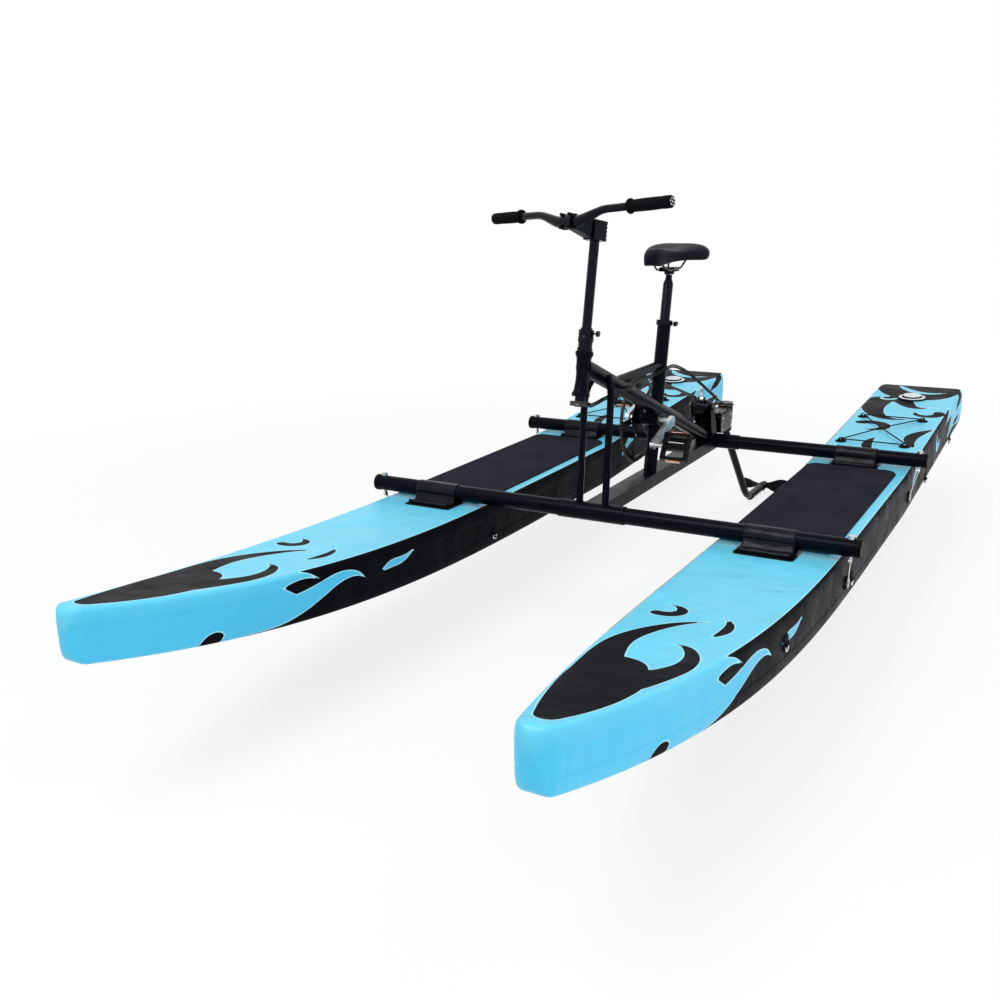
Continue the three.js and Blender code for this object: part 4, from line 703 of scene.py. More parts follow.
# On the walls, across is the distance down from the deck's edge
WALL_LIGHT = [
    stroke([(-0.1, 0.075, 0.16), (0.25, 0.075, 0.15), (0.38, 0.070, 0.090), (0.46, 0.064, 0.052),
            (0.54, 0.060, 0.024), (0.60, 0.070, 0.001)]),
    stroke([(0.42, 0.105, 0.038), (0.50, 0.100, 0.042), (0.57, 0.100, 0.032), (0.66, 0.078, 0.024),
            (0.75, 0.048, 0.016), (0.82, 0.050, 0.008), (0.86, 0.075, 0.001)]),
    stroke([(0.40, 0.022, 0.028), (0.52, 0.022, 0.027), (0.58, 0.014, 0.016), (0.64, 0.020, 0.007),
            (0.68, 0.040, 0.001)]),
    stroke([(0.92, 0.075, 0.001), (0.97, 0.060, 0.013), (1.03, 0.062, 0.010), (1.09, 0.040, 0.001)]),
    stroke([(4.05, 0.06, 0.12), (3.80, 0.055, 0.075), (3.66, 0.060, 0.050), (3.56, 0.085, 0.026),
            (3.50, 0.120, 0.008)]),
    stroke([(3.70, 0.030, 0.030), (3.56, 0.022, 0.018), (3.46, 0.030, 0.010), (3.40, 0.052, 0.001)]),
    curl(3.20, 0.055, 0.038, 0.015, 30, 220, 0.8),
    stroke([(2.88, 0.030, 0.002), (2.80, 0.020, 0.018), (2.70, 0.030, 0.016), (2.63, 0.060, 0.010),
            (2.60, 0.090, 0.001)]),
]
WALL_DARK = [
    curl(0.36, 0.170, 0.045, 0.030, 150, 120, 1.0),
    stroke([(0.60, 0.135, 0.010), (0.68, 0.125, 0.014), (0.76, 0.110, 0.010), (0.80, 0.092, 0.002)]),
    stroke([(3.86, 0.012, 0.022), (3.80, 0.035, 0.020), (3.74, 0.040, 0.012), (3.69, 0.062, 0.001)]),
    stroke([(3.62, 0.100, 0.001), (3.68, 0.095, 0.012), (3.75, 0.105, 0.014), (3.84, 0.098, 0.001)]),
]

# %% [markdown]
# The skin's weave is a fine scrim under the coating, and the deck is slightly uneven where
# the threads pull. Along both edges of each wall runs a taped seam.

# %% Pontoon skin
BLUE_DECK = (0.118, 0.575, 0.770)
BLUE_WALL = (0.062, 0.520, 0.790)
SKIN_BLACK = (0.0030, 0.0030, 0.0050)
PALE_LINE = (0.42, 0.78, 0.84)
SCUFF_TONE = (0.20, 0.26, 0.30)
INK_BLUR = 0.0004  # half the soft edge of a printed shape
LINE_OUT, LINE_IN = -0.0032, -0.0026  # where the pale outline starts, outside a dark shape
NOSE_SMOOTH, NOSE_PLEATED = 0.12, 0.02  # distances from the bow's tip

s = Surface("pontoon_skin", BLUE_DECK, 0.34)
ink = s.attribute("ink")
dark = s.span(ink, -INK_BLUR, INK_BLUR)
outline = s.math("MULTIPLY", s.span(ink, LINE_OUT, LINE_IN), s.math("SUBTRACT", 1.0, dark))
clouds = s.noise(3.5, 4.0)
blue = s.drift(clouds, scaled(BLUE_DECK, 0.94), scaled(BLUE_DECK, 1.05))
blue = s.mix(s.attribute("wall"), blue, BLUE_WALL)
blue = s.mix(s.math("MULTIPLY", outline, 0.75), blue, PALE_LINE)
black = s.drift(clouds, SKIN_BLACK, scaled(SKIN_BLACK, 1.5))
scuff = s.math("MULTIPLY", s.span(s.noise(25.0, 8.0, s.stretched((1.0, 0.2, 1.0))), 0.66, 0.8), 0.05)
s.colour(s.mix(scuff, s.mix(dark, blue, black), SCUFF_TONE))
s.shine(s.mix_value(dark, 0.30, 0.012))
s.gloss(s.drift(s.noise(9.0, 4.0), 0.26, 0.42))
s.relief(s.noise(7.0, 2.0), 0.010)
nose = s.span(s.axis("Y"), BOW_TIP + NOSE_SMOOTH, BOW_TIP + NOSE_PLEATED)
wrinkles = s.noise(38.0, 3.0, s.stretched((0.6, 1.0, 0.25)), 0.6)
s.relief(s.math("MULTIPLY", nose, wrinkles), 0.006)
s.relief(s.math("MULTIPLY", s.waves(160.0, "X"), s.waves(160.0, "Y")), 0.00012)
pontoon_skin = s.material

# %% Pontoons
DECK_COUNT, ARC_COUNT, WALL_COUNT, KEEL_COUNT = 15, 5, 15, 8
TAPE_WIDTH, TAPE_LIFT, TAPE_EDGE = 0.026, 0.0009, 0.0012
EDGE_LINE = 0.005  # how far down the rounded edge the wall's colour starts
INK_REACH = 0.05  # farther than this from a shape's edge, the distance no longer counts
WALL_FADE = 0.05  # how far down the deck's blue has turned into the wall's blue
TIP_DROP = 0.075


def half_section(y, side, face):
    """Points from the deck's middle to the keel's middle: across, height, drop past the deck's edge."""
    deck, keel, half = hull_at(y)
    half -= side
    top, bottom = deck - face, keel + face
    edge = min(HULL_EDGE, half * 0.9)
    flat = max(half - edge, 1e-4)
    out = [(flat * i / DECK_COUNT, top, 0.0) for i in range(DECK_COUNT + 1)]
    for i in range(1, ARC_COUNT):
        a = math.pi / 2 * i / ARC_COUNT
        out.append((flat + edge * math.sin(a), top - edge * (1 - math.cos(a)), edge * a))
    height = top - bottom - 2 * edge
    start = edge * math.pi / 2
    tape = [TAPE_WIDTH / height, (TAPE_WIDTH + TAPE_EDGE) / height]
    shares = sorted([i / WALL_COUNT for i in range(WALL_COUNT + 1)] + tape + [1 - t for t in tape])
    for share in shares:
        drop = share * height
        taped = drop < TAPE_WIDTH + DOUBLE or drop > height - TAPE_WIDTH - DOUBLE
        lift = HULL_BULGE * math.sin(math.pi * share) + (TAPE_LIFT if taped and 0 < share < 1 else 0.0)
        out.append((flat + edge + lift, top - edge - drop, start + drop))
    for i in range(1, ARC_COUNT + 1):
        a = math.pi / 2 * i / ARC_COUNT
        out.append((flat + edge * math.cos(a), bottom + edge * (1 - math.sin(a)), start + height + edge * a))
    last = out[-1][2]
    for i in range(1, KEEL_COUNT + 1):
        out.append((flat * (1 - i / KEEL_COUNT), bottom, last + flat * i / KEEL_COUNT))
    return out


def wall_ink_at(along, drop):
    """How far inside a dark shape of the wall each point lies."""
    light = np.minimum(INK_REACH, -inside(WALL_LIGHT, along, drop))
    return np.maximum(light, inside(WALL_DARK, along, drop))


def make_pontoon(name, side):
    rings, rows = [], []
    for y, side_in, face_in in hull_stations():
        section = half_section(y, side_in, face_in)
        ring = section + [(-x, z, d) for x, z, d in section[-2:0:-1]]
        rings.append([(side * HULL_CENTRE + x, y, z) for x, z, _ in ring])
        rows += [(x, d, y - BOW_TIP, section[DECK_COUNT][0]) for x, _, d in ring]
    points, faces = ladder(rings)
    rows += [(0.0, TIP_DROP, tip - BOW_TIP, 0.0) for tip in (BOW_TIP, STERN_END)]
    across, drop, along, edge_at = np.array(rows).T
    on_wall = drop > EDGE_LINE
    deck_ink = np.minimum(inside(DECK_DARK, along, across), -inside(DECK_LIGHT, along, across))
    top_ink = wall_ink_at(along, np.full(len(along), EDGE_LINE))
    to_edge = np.maximum(EDGE_LINE - drop, 0.0) + np.maximum(edge_at - np.abs(across), 0.0)
    deck_ink = np.where(top_ink > 0, np.maximum(deck_ink, -to_edge), deck_ink)
    wall_ink = wall_ink_at(along, drop)
    wall_ink = np.where(top_ink > 0, np.minimum(wall_ink, drop - EDGE_LINE + 0.0002), wall_ink)
    ink = np.clip(np.where(on_wall, wall_ink, deck_ink), -INK_REACH, INK_REACH)
    mesh = plain_mesh(name, points, faces)
    for title, values in (("ink", ink), ("wall", np.clip(drop / WALL_FADE, 0, 1))):
        mesh.attributes.new(title, "FLOAT", "POINT").data.foreach_set("value", values.astype(np.float32))
    piece = place_piece(name, turned_out(mesh, merge=False), pontoon_skin, "frame")
    return piece


for side, word in SIDES:
    hull = make_pontoon("pontoon_skin_" + word, side)
    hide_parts("pontoon_" + word)
    print(hull.name, len(hull.data.polygons), "faces")

# %% [markdown]
# ## Deck pads
# Each pad is a sheet of EVA foam, glued to the deck between the cross bars. It is thin, matt
# and dark, with chamfered edges and a fine brushed grain that gives grip.

# %% Deck pads
s = Surface("pad_foam", (0.018, 0.018, 0.025), 0.86, Specular_IOR_Level=0.04)
grain = s.cells(420.0)
s.colour(s.drift(s.noise(11.0, 5.0), (0.012, 0.012, 0.018), (0.019, 0.019, 0.027)))
s.gloss(s.span(grain, 0.0, 0.8, 0.78, 0.95))
s.relief(grain, 0.0005)
pad_foam = s.material

PAD_FRONT, PAD_REAR, PAD_LEFT, PAD_RIGHT = -0.530, 0.491, 0.145, 0.172
PAD_THICK, PAD_CORNER, PAD_CHAMFER, PAD_LIFT = 0.005, 0.040, 0.0022, 0.0005
PAD_STEPS, PAD_CORNER_STEPS, PAD_COLUMNS, PAD_UNDER = 84, 12, 16, 6


def make_pad(name, side):
    straight = PAD_REAR - PAD_CORNER - PAD_FRONT
    places = [(PAD_FRONT + straight * i / PAD_STEPS, 0.0) for i in range(PAD_STEPS + 1)]
    for i in range(1, PAD_CORNER_STEPS + 1):
        a = math.pi / 2 * i / PAD_CORNER_STEPS
        places.append((PAD_REAR - PAD_CORNER * (1 - math.sin(a)), PAD_CORNER * (1 - math.cos(a))))
    rings = []
    for y, inset in places:
        low = deck_at(y) + PAD_LIFT
        high = low + PAD_THICK
        a, b = inset - PAD_RIGHT, PAD_LEFT - inset
        top = b - a - 2 * PAD_CHAMFER
        ring = [(a, low), (a, high - PAD_CHAMFER)]
        ring += [(a + PAD_CHAMFER + top * i / PAD_COLUMNS, high) for i in range(PAD_COLUMNS + 1)]
        ring += [(b, high - PAD_CHAMFER), (b, low)]
        ring += [(b + (a - b) * i / PAD_UNDER, low) for i in range(1, PAD_UNDER)]
        rings.append([(side * HULL_CENTRE + x, y, z) for x, z in ring])
    return mesh_piece(name, *ladder(rings), pad_foam, "frame", crisp=True)


for side, word in SIDES:
    pad = make_pad("foam_pad_" + word, side)
    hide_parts("deck_pad_" + word)

# %% [markdown]
# ## Deck cords
# One elastic cord zigzags between four webbing loops on round patches. It is tight, so its
# runs are straight, and it crosses over itself in the middle.

# %% Deck cords
BUNGEE_RADIUS = 0.0025
BUNGEE_MIDDLE, BUNGEE_HALF, BUNGEE_FRONT, BUNGEE_REAR = -0.012, 0.120, 0.836, 1.246
BUNGEE_LIFT, BUNGEE_BEND, CROSSING_LIFT = 0.0095, 0.016, 0.0056
PATCH_LIFT = 0.0004
PATCH_ROWS = [(0.001, 0.0), (0.022, 0.0), (0.022, 0.0012), (0.0205, 0.0019), (0.010, 0.0022), (0.001, 0.0022)]
LOOP_HALF, LOOP_SPAN, LOOP_FOOT, LOOP_TALL, LOOP_THICK, LOOP_STEPS = 0.006, 0.0085, 0.0025, 0.0115, 0.0014, 12

arch = []
for i in range(LOOP_STEPS + 1):
    a = math.pi * i / LOOP_STEPS
    inner = (-LOOP_SPAN * math.cos(a), LOOP_FOOT + LOOP_TALL * math.sin(a))
    outer = (inner[0] - LOOP_THICK * math.cos(a), inner[1] + LOOP_THICK * math.sin(a))
    arch.append([(-LOOP_HALF, *inner), (LOOP_HALF, *inner), (LOOP_HALF, *outer), (-LOOP_HALF, *outer)])
cord_loop = shape_mesh("loop", *ladder(arch))
cord_patch = shape_mesh("patch", *ladder(lathe(PATCH_ROWS, 28)))


def make_bungee(side, word):
    x0 = side * HULL_CENTRE + BUNGEE_MIDDLE
    middle = (BUNGEE_FRONT + BUNGEE_REAR) / 2

    def over(x, y, up=0.0):
        return (x0 + x, y, deck_at(y) + BUNGEE_LIFT + up)

    # the ends stop short of their corners, where the cord passes
    route = [over(BUNGEE_HALF, BUNGEE_FRONT + 0.012), over(0.0, middle), over(-BUNGEE_HALF, BUNGEE_REAR),
             over(BUNGEE_HALF, BUNGEE_REAR), over(0.0, middle, CROSSING_LIFT),
             over(-BUNGEE_HALF, BUNGEE_FRONT), over(BUNGEE_HALF - 0.004, BUNGEE_FRONT - 0.002)]
    path = fillet(route, BUNGEE_BEND, 8)
    cord = tube("deck_cord_" + word, path, BUNGEE_RADIUS, woven_sheath, "frame", 12)
    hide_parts("bungee_" + word)
    places = [(x0 + sx * BUNGEE_HALF, y) for sx in (-1, 1) for y in (BUNGEE_FRONT, BUNGEE_REAR)]
    up = Vector((0, -STERN_RISE / STERN_LENGTH, 1)).normalized()
    on_deck = [(x, y, deck_at(y) + PATCH_LIFT) for x, y in places]
    patches = copies("cord_patches_" + word, on_deck, up, (1, 0, 0), cord_patch, black_rubber, "frame")
    toward = [Vector((x - x0, y - middle, 0)).normalized() for x, y in places]
    loops = copies("cord_loops_" + word, on_deck, up, toward, cord_loop, black_rubber, "frame")
    print("deck cord", round(line_length(path), 3), "m")


for side, word in SIDES:
    make_bungee(side, word)

# %% [markdown]
# ## Vinyl wraps
# A coated fabric strap goes over each cross bar, down both sides and along the deck, where it
# is welded to a base patch. Its front edge is rolled round a stiffener, and that roll takes
# the sharpest highlight. The strip is drawn by its side view and then swept across.

# %% Vinyl wraps
s = Surface("black_vinyl", (0.004, 0.004, 0.006), 0.18, Specular_IOR_Level=0.09)
folds_and_shade = s.noise(26.0, 3.0, s.stretched((0.35, 1.0, 1.0)))
# The colour follows the folds' height: crowns are painted lighter and troughs darker, a painted shade in the
# creases
s.colour(s.drift(folds_and_shade, (0.004, 0.004, 0.006), (0.010, 0.010, 0.014)))
s.gloss(s.drift(s.noise(40.0, 5.0), 0.14, 0.30))
s.relief(folds_and_shade, 0.006)
s.relief(s.noise(900.0, 2.0), 0.0001)
black_vinyl = s.material

BAR_Y, BAR_Z, BAR_RADIUS = 0.559, 0.189, 0.0254
WRAP_X, WRAP_HALF, WRAP_THICK = 0.555, 0.074, 0.0018
WRAP_ROLL, WRAP_GAP, WRAP_LOW = 0.0055, 0.0006, 0.0040
WRAP_COLUMNS, RIPPLE = 26, 0.0012
WRAP_REACH = {"front": (0.075, 0.026), "rear": (0.065, 0.050)}
BASE_FRONT, BASE_REAR, BASE_HALF, BASE_CORNER = 0.012, 0.030, 0.086, 0.014  # the patch past the strap
# Height over the deck, and how far each ring of the patch draws in
BASE_ROWS = ((0.0002, 0.0), (0.0016, 0.0), (0.0022, 0.0015))


def wrap_profile(y, fore, aft):
    """Side view of the strap's middle: from the deck in front, over the bar, to the deck behind."""
    ride = BAR_RADIUS + WRAP_GAP + WRAP_THICK / 2
    roll_y = y - fore + WRAP_ROLL
    roll_z = deck_at(roll_y) + WRAP_LOW
    line = []
    for i in range(9):
        a = math.pi * (1.5 - 1.15 * i / 8)
        line.append((roll_y + WRAP_ROLL * math.cos(a), roll_z + WRAP_ROLL * (1 + math.sin(a))))
    line.append((roll_y + WRAP_ROLL * 1.6, roll_z + 0.004))
    line.append((y - ride * 1.35, deck_at(y - ride) + 0.0075))
    start, end = math.radians(200), math.radians(-22)
    for i in range(19):
        a = start + (end - start) * i / 18
        line.append((y + ride * math.cos(a), BAR_Z + ride * math.sin(a)))
    line.append((y + ride * 1.08, deck_at(y + ride) + 0.008))
    line.append((y + aft + 0.006, deck_at(y + aft) + WRAP_LOW))
    line.append((y + aft + 0.022, deck_at(y + aft + 0.022) + WRAP_LOW))
    return line


def make_wrap(end, side, word):
    y = -BAR_Y if end == "front" else BAR_Y
    fore, aft = WRAP_REACH[end]
    line = fillet([(0, a, b) for a, b in wrap_profile(y, fore, aft)], 0.004, 2)
    rng = np.random.default_rng(7 + side + (3 if end == "front" else 0))
    waves = [(rng.uniform(30, 90), rng.uniform(0, 6.28), rng.uniform(20, 80)) for _ in range(5)]
    points = []
    for i in range(WRAP_COLUMNS + 1):
        x = WRAP_HALF * (2 * i / WRAP_COLUMNS - 1)
        for _, a, b in line:
            # the strap ripples where it touches neither the bar nor the deck
            loose = abs(math.hypot(a - y, b - BAR_Z) - BAR_RADIUS) > 0.004 and b > deck_at(a) + 0.006
            ripple = RIPPLE * (sum(math.sin(k * x + p + m * a) for k, p, m in waves) / 5)
            points.append((side * WRAP_X + x, a, b + (ripple if loose else 0.0)))
    count = len(line)
    corners = [i * count + j for i in range(WRAP_COLUMNS) for j in range(count - 1)]
    faces = [(k, k + 1, k + count + 1, k + count) for k in corners]
    mesh = plain_mesh("bar_wrap", points, faces)
    piece = place_piece(f"{end}_{word}_wrap", mesh, black_vinyl, "frame")
    solid = piece.modifiers.new("thickness", "SOLIDIFY")
    solid.thickness = WRAP_THICK
    solid.offset = 0.0
    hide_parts(f"{end}_{word}_clamp")
    flat = sum(math.dist(p[1:], q[1:]) for p, q in zip(line, line[1:]))
    front, rear = -fore - BASE_FRONT, aft + BASE_REAR
    base = [(front, -BASE_HALF), (front, BASE_HALF), (rear, BASE_HALF), (rear, -BASE_HALF)]
    outline = fillet([(side * WRAP_X + x, y + a, 0.0) for a, x in base], BASE_CORNER, 5, closed=True)
    middle = Vector((side * WRAP_X, y, 0.0))
    rings = []
    for lift, shrink in BASE_ROWS:
        spots = [middle + (Vector(p) - middle) * (1 - shrink / 0.08) for p in outline]
        rings.append([(q.x, q.y, deck_at(q.y) + lift) for q in spots])
    patch = mesh_piece(f"{end}_{word}_wrap_base", *ladder(rings), black_vinyl, "frame", crisp=True)
    return flat


for side, word in SIDES:
    for end in ("front", "rear"):
        flat = make_wrap(end, side, word)
        print(end, word, "wrap", round(flat, 3), "m long")

# %% [markdown]
# ## The saddle
# A padded saddle has a plastic base, foam and a stretched vinyl cover. It is widest at the
# tail, dips in the middle and drops at the nose. A few sections give the cage, and a
# subdivision surface rounds it.

# %% Saddle
s = Surface("saddle_vinyl", (0.006, 0.006, 0.010), 0.30, Specular_IOR_Level=0.05)
s.colour(s.drift(s.noise(20.0, 4.0), (0.004, 0.004, 0.008), (0.008, 0.008, 0.014)))
s.gloss(s.drift(s.noise(30.0, 4.0), 0.32, 0.46))
s.relief(s.span(s.cells(520.0, "DISTANCE_TO_EDGE"), 0.0, 0.25), 0.00018)
saddle_vinyl = s.material

SADDLE_FRONT, SADDLE_REAR, SADDLE_HALF = -0.144, 0.163, 0.116
GROOVE_DEPTH = 0.0022
# Share of the length, of the half width, and the heights of the crown, of the side and of the skirt
SADDLE_SECTIONS = [
    (0.0, 0.1, 0.932, 0.922, 0.912), (0.03, 0.19, 0.945, 0.93, 0.902), (0.1, 0.245, 0.954, 0.936, 0.897),
    (0.2, 0.27, 0.956, 0.937, 0.899), (0.32, 0.31, 0.9515, 0.933, 0.904), (0.44, 0.41, 0.9465, 0.93, 0.908),
    (0.56, 0.6, 0.946, 0.929, 0.91), (0.68, 0.84, 0.951, 0.932, 0.909), (0.79, 0.985, 0.959, 0.936, 0.907),
    (0.88, 0.99, 0.963, 0.939, 0.907), (0.955, 0.86, 0.96, 0.938, 0.91), (1.0, 0.58, 0.948, 0.933, 0.916),
]


def saddle_ring(share, wide, crown, flank, skirt):
    y = SADDLE_FRONT + (SADDLE_REAR - SADDLE_FRONT) * share
    half = SADDLE_HALF * wide
    groove = GROOVE_DEPTH * max(0.0, math.sin(math.pi * min(1.0, share * 1.05)))
    side = [(0.0, crown - groove), (half * 0.16, crown - groove * 0.4), (half * 0.42, crown),
            (half * 0.70, crown - 0.0035), (half * 0.90, (crown + flank) / 2), (half, flank - 0.003),
            (half * 0.985, (flank + skirt) / 2), (half * 0.93, skirt), (half * 0.72, skirt + 0.001),
            (0.0, skirt + 0.002)]
    ring = side + [(-x, z) for x, z in side[-2:0:-1]]
    return [(x, y, z) for x, z in ring]


saddle_rings = [saddle_ring(*row) for row in SADDLE_SECTIONS]
saddle_cover = mesh_piece("saddle_cover", *ladder(saddle_rings), saddle_vinyl, "seat")
rounded = saddle_cover.modifiers.new("rounded", "SUBSURF")
rounded.levels = 3
rounded.render_levels = 3
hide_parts("saddle")

# %% [markdown]
# ## The chain
# A roller chain alternates two links: an inner one, whose plates hold two bushes and rollers,
# and an outer one, whose plates are joined by the pins. The pins lie half an inch apart on a
# closed line that wraps the chainring and the sprocket, so one tree sets all the links.

# %% Chain
PITCH = 0.0127
RING_TEETH, COG_TEETH, LINKS = 72, 18, 134
CHAIN_X = -0.043
RING_AXLE = (-0.100, 0.394)
COG_AXLE = (0.451663, 0.339284)
RING_RADIUS = PITCH / (2 * math.sin(math.pi / RING_TEETH))
COG_RADIUS = PITCH / (2 * math.sin(math.pi / COG_TEETH))
SPAN = math.dist(RING_AXLE, COG_AXLE)
FALL = math.atan2(COG_AXLE[1] - RING_AXLE[1], COG_AXLE[0] - RING_AXLE[0])
WRAP = math.asin((RING_RADIUS - COG_RADIUS) / SPAN)
START = FALL + math.pi / 2 - WRAP
RUN_LINKS = SPAN * math.cos(WRAP) / PITCH
RING_LINKS = (math.pi + 2 * WRAP) * RING_TEETH / (2 * math.pi)
COG_LINKS = LINKS - RING_LINKS - 2 * RUN_LINKS


def pin_at(link):
    """Place (y, z) of a chain pin, counted round the chainring first."""
    def on_wheel(axle, radius, angle):
        return np.array([axle[0] + radius * math.cos(angle), axle[1] + radius * math.sin(angle)])

    end = START + math.pi + 2 * WRAP
    if link <= RING_LINKS:
        return on_wheel(RING_AXLE, RING_RADIUS, START + link * 2 * math.pi / RING_TEETH)
    lower = link - RING_LINKS
    if lower <= RUN_LINKS:
        a, b = on_wheel(RING_AXLE, RING_RADIUS, end), on_wheel(COG_AXLE, COG_RADIUS, end)
        return a + (b - a) * lower / RUN_LINKS
    turn_links = lower - RUN_LINKS
    if turn_links <= COG_LINKS:
        return on_wheel(COG_AXLE, COG_RADIUS, end + turn_links * 2 * math.pi / COG_TEETH)
    a, b = on_wheel(COG_AXLE, COG_RADIUS, START), on_wheel(RING_AXLE, RING_RADIUS, START)
    return a + (b - a) * (turn_links - COG_LINKS) / RUN_LINKS


PLATE_END, PLATE_WAIST, PLATE_THICK, PLATE_STEPS = 0.0041, 0.0031, 0.0011, 5
# Where the plates start, how far the pins or rollers reach past there, and their radius
LINK_KINDS = {"inner": (0.00165, 0.0001, 0.0038), "outer": (0.0029, 0.0017, 0.0016)}


def plate_outline():
    """A figure-of-eight link plate in (length, depth), with its waist."""
    out = []
    for centre, base, waist in ((PITCH / 2, -90, PLATE_WAIST), (-PITCH / 2, 90, -PLATE_WAIST)):
        for i in range(PLATE_STEPS + 1):
            a = math.radians(base + 180 * i / PLATE_STEPS)
            out.append((centre + PLATE_END * math.cos(a), PLATE_END * math.sin(a)))
        out.append((0.0, waist))
    return out


def link_shape(kind):
    """One link along Z, with its pins along X."""
    near, past, radius = LINK_KINDS[kind]
    forms = []
    for way in (-1, 1):
        plate = [[(way * x, depth, along) for along, depth in plate_outline()]
                 for x in (near, near + PLATE_THICK)]
        forms.append(ladder(plate))
    for end in (-1, 1):
        pin = [[(x, across, end * PITCH / 2 + along) for across, along in circle(radius, 8)]
               for x in (-near - past, near + past)]
        forms.append(ladder(pin))
    return shape_mesh(kind, *joined(*forms))


pins = np.array([pin_at(i) for i in range(LINKS)])
after = np.roll(pins, -1, axis=0)
middles = (pins + after) / 2
ways = after - pins
for first, kind in enumerate(LINK_KINDS):
    chosen = range(first, LINKS, 2)
    spots = [(CHAIN_X, *middles[i]) for i in chosen]
    along = [Vector((0, *ways[i])).normalized() for i in chosen]
    run = copies(f"chain_{kind}_links", spots, along, (1, 0, 0), link_shape(kind), dark_steel, "frame")
    if kind == "inner":
        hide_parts("chain")
print(LINKS, "links,", round(LINKS * PITCH, 3), "m")

# %% [markdown]
# ## Rings on the hulls
# Chrome D-rings hang in loops on round patches along the outer walls.

# %% D-rings
# Outwards or inwards, place along the hull and height, for the rider's left
RINGS = [(1, -1.082, 0.104), (1, -0.428, 0.057), (1, 0.895, 0.045), (1, 1.523, 0.075),
         (-1, -0.499, 0.050), (-1, 0.950, 0.050)]
D_RADIUS, D_WIRE, D_OUT, D_DROP, D_STEPS = 0.0125, 0.0018, 0.004, 0.008, 12
RING_PATCH = [(0.001, 0.0), (0.023, 0.0), (0.023, 0.0010), (0.0215, 0.0016), (0.001, 0.0018)]
STRAP_HALF, STRAP_BULGE, STRAP_STEPS = 0.009, 0.0062, 8
STRAP_TOP, STRAP_UNDER, STRAP_LOW, STRAP_TALL = 0.0016, 0.0004, -0.011, 0.012


def ring_shape():
    """A D-ring that hangs against a wall: Z is up, X is outwards."""
    turns = [math.pi * (i / D_STEPS) - math.pi / 2 for i in range(D_STEPS + 1)]
    path = [(D_OUT, D_RADIUS * math.sin(a), -D_DROP - D_RADIUS * math.cos(a)) for a in turns]
    out = Vector((1, 0, 0))
    rings = []
    for i, p in enumerate(path):
        ahead = (Vector(path[(i + 1) % len(path)]) - Vector(path[i - 1])).normalized()
        other = ahead.cross(out)
        rings.append([tuple(Vector(p) + out * x + other * y) for x, y in circle(D_WIRE, 8)])
    return shape_mesh("d_ring", *ladder(rings, closed=True))


def patch_shape():
    """A round patch with the strap that holds the ring."""
    patch = [[(z, x, y) for x, y in circle(r, 24)] for r, z in RING_PATCH]
    strap = []
    for i in range(STRAP_STEPS + 1):
        bulge = STRAP_BULGE * math.sin(math.pi * i / STRAP_STEPS)
        z = STRAP_LOW + STRAP_TALL * i / STRAP_STEPS
        strap.append([(STRAP_TOP + bulge, -STRAP_HALF, z), (STRAP_TOP + bulge, STRAP_HALF, z),
                      (STRAP_UNDER + bulge, STRAP_HALF, z), (STRAP_UNDER + bulge, -STRAP_HALF, z)])
    return shape_mesh("ring_patch", *joined(ladder(patch), ladder(strap)))


for side, word in SIDES:
    spots = [(side * (HULL_CENTRE + out * (hull_at(y)[2] + HULL_BULGE * 0.8)), y, z) for out, y, z in RINGS]
    outwards = [(side * out, 0, 0) for out, _, _ in RINGS]
    rings = copies(f"d_rings_{word}", spots, (0, 0, 1), outwards, ring_shape(), bright_steel, "frame")
    patches = copies(f"ring_patches_{word}", spots, (0, 0, 1), outwards, patch_shape(), black_rubber, "frame")

# %% [markdown]
# ## Grips
# A grip is a moulded rubber sleeve. It has a flange at its inner end, fine rings for the palm,
# a smooth collar, and a locking end plate with bright studs. Its line is found from the packed
# grip: the long direction of its points, with the ends where the points stop.

# %% Grips
GRIP_RADIUS, GRIP_RIBS, RIB_STEPS = 0.0160, 16, 4
RIB_HEIGHT, PALM_SWELL = 0.00045, 0.0007
FLANGE_ROWS = [(0.0105, 0.0), (0.0200, 0.0), (0.0206, 0.001), (0.0206, 0.004), (0.0198, 0.0055),
               (GRIP_RADIUS, 0.008)]
# Radius, and distance back from the outer end
COLLAR_ROWS = [(GRIP_RADIUS, 0.027), (GRIP_RADIUS + 0.0008, 0.025), (GRIP_RADIUS + 0.0008, 0.009),
               (GRIP_RADIUS, 0.0075), (0.0165, 0.006), (0.0165, 0.002), (0.0150, 0.0)]
PLATE_ROWS = [(AXIS, 0.0), (0.0142, 0.0), (0.0142, 0.0012), (0.0132, 0.0020), (AXIS, 0.0022)]
STUD_ROWS = [(AXIS, 0.0), (0.0024, 0.0), (0.0024, 0.0008), (AXIS, 0.0008)]
STUD_CIRCLE, STUD_SEAT = 0.0088, 0.0021


def long_line(node):
    """The line through a long node: its inner end and its outer end, by distance from X 0."""
    points = np.array([v.co for v in nodes[node].data.vertices], dtype=float)
    middle = points.mean(axis=0)
    way = np.linalg.svd(points - middle, full_matrices=False)[2][0]
    reach = (points - middle) @ way
    ends = [Vector(middle + way * r) for r in (reach.min(), reach.max())]
    return sorted(ends, key=lambda p: abs(p.x))


def grip_profile(length):
    start, end = 0.012, length - 0.030
    steps = GRIP_RIBS * RIB_STEPS
    rows = list(FLANGE_ROWS)
    for i in range(steps + 1):
        share = i / steps
        rib = RIB_HEIGHT * math.sin(2 * math.pi * GRIP_RIBS * share)
        swell = PALM_SWELL * math.sin(math.pi * share)
        rows.append((GRIP_RADIUS + swell + rib, start + (end - start) * share))
    return rows + [(radius, length - back) for radius, back in COLLAR_ROWS]


def along_line(points, start, end):
    """Points of a form about Z, moved so that Z runs from start to end."""
    turn = (end - start).to_track_quat("Z", "Y").to_matrix().to_4x4()
    return moved(points, Matrix.Translation(start) @ turn)


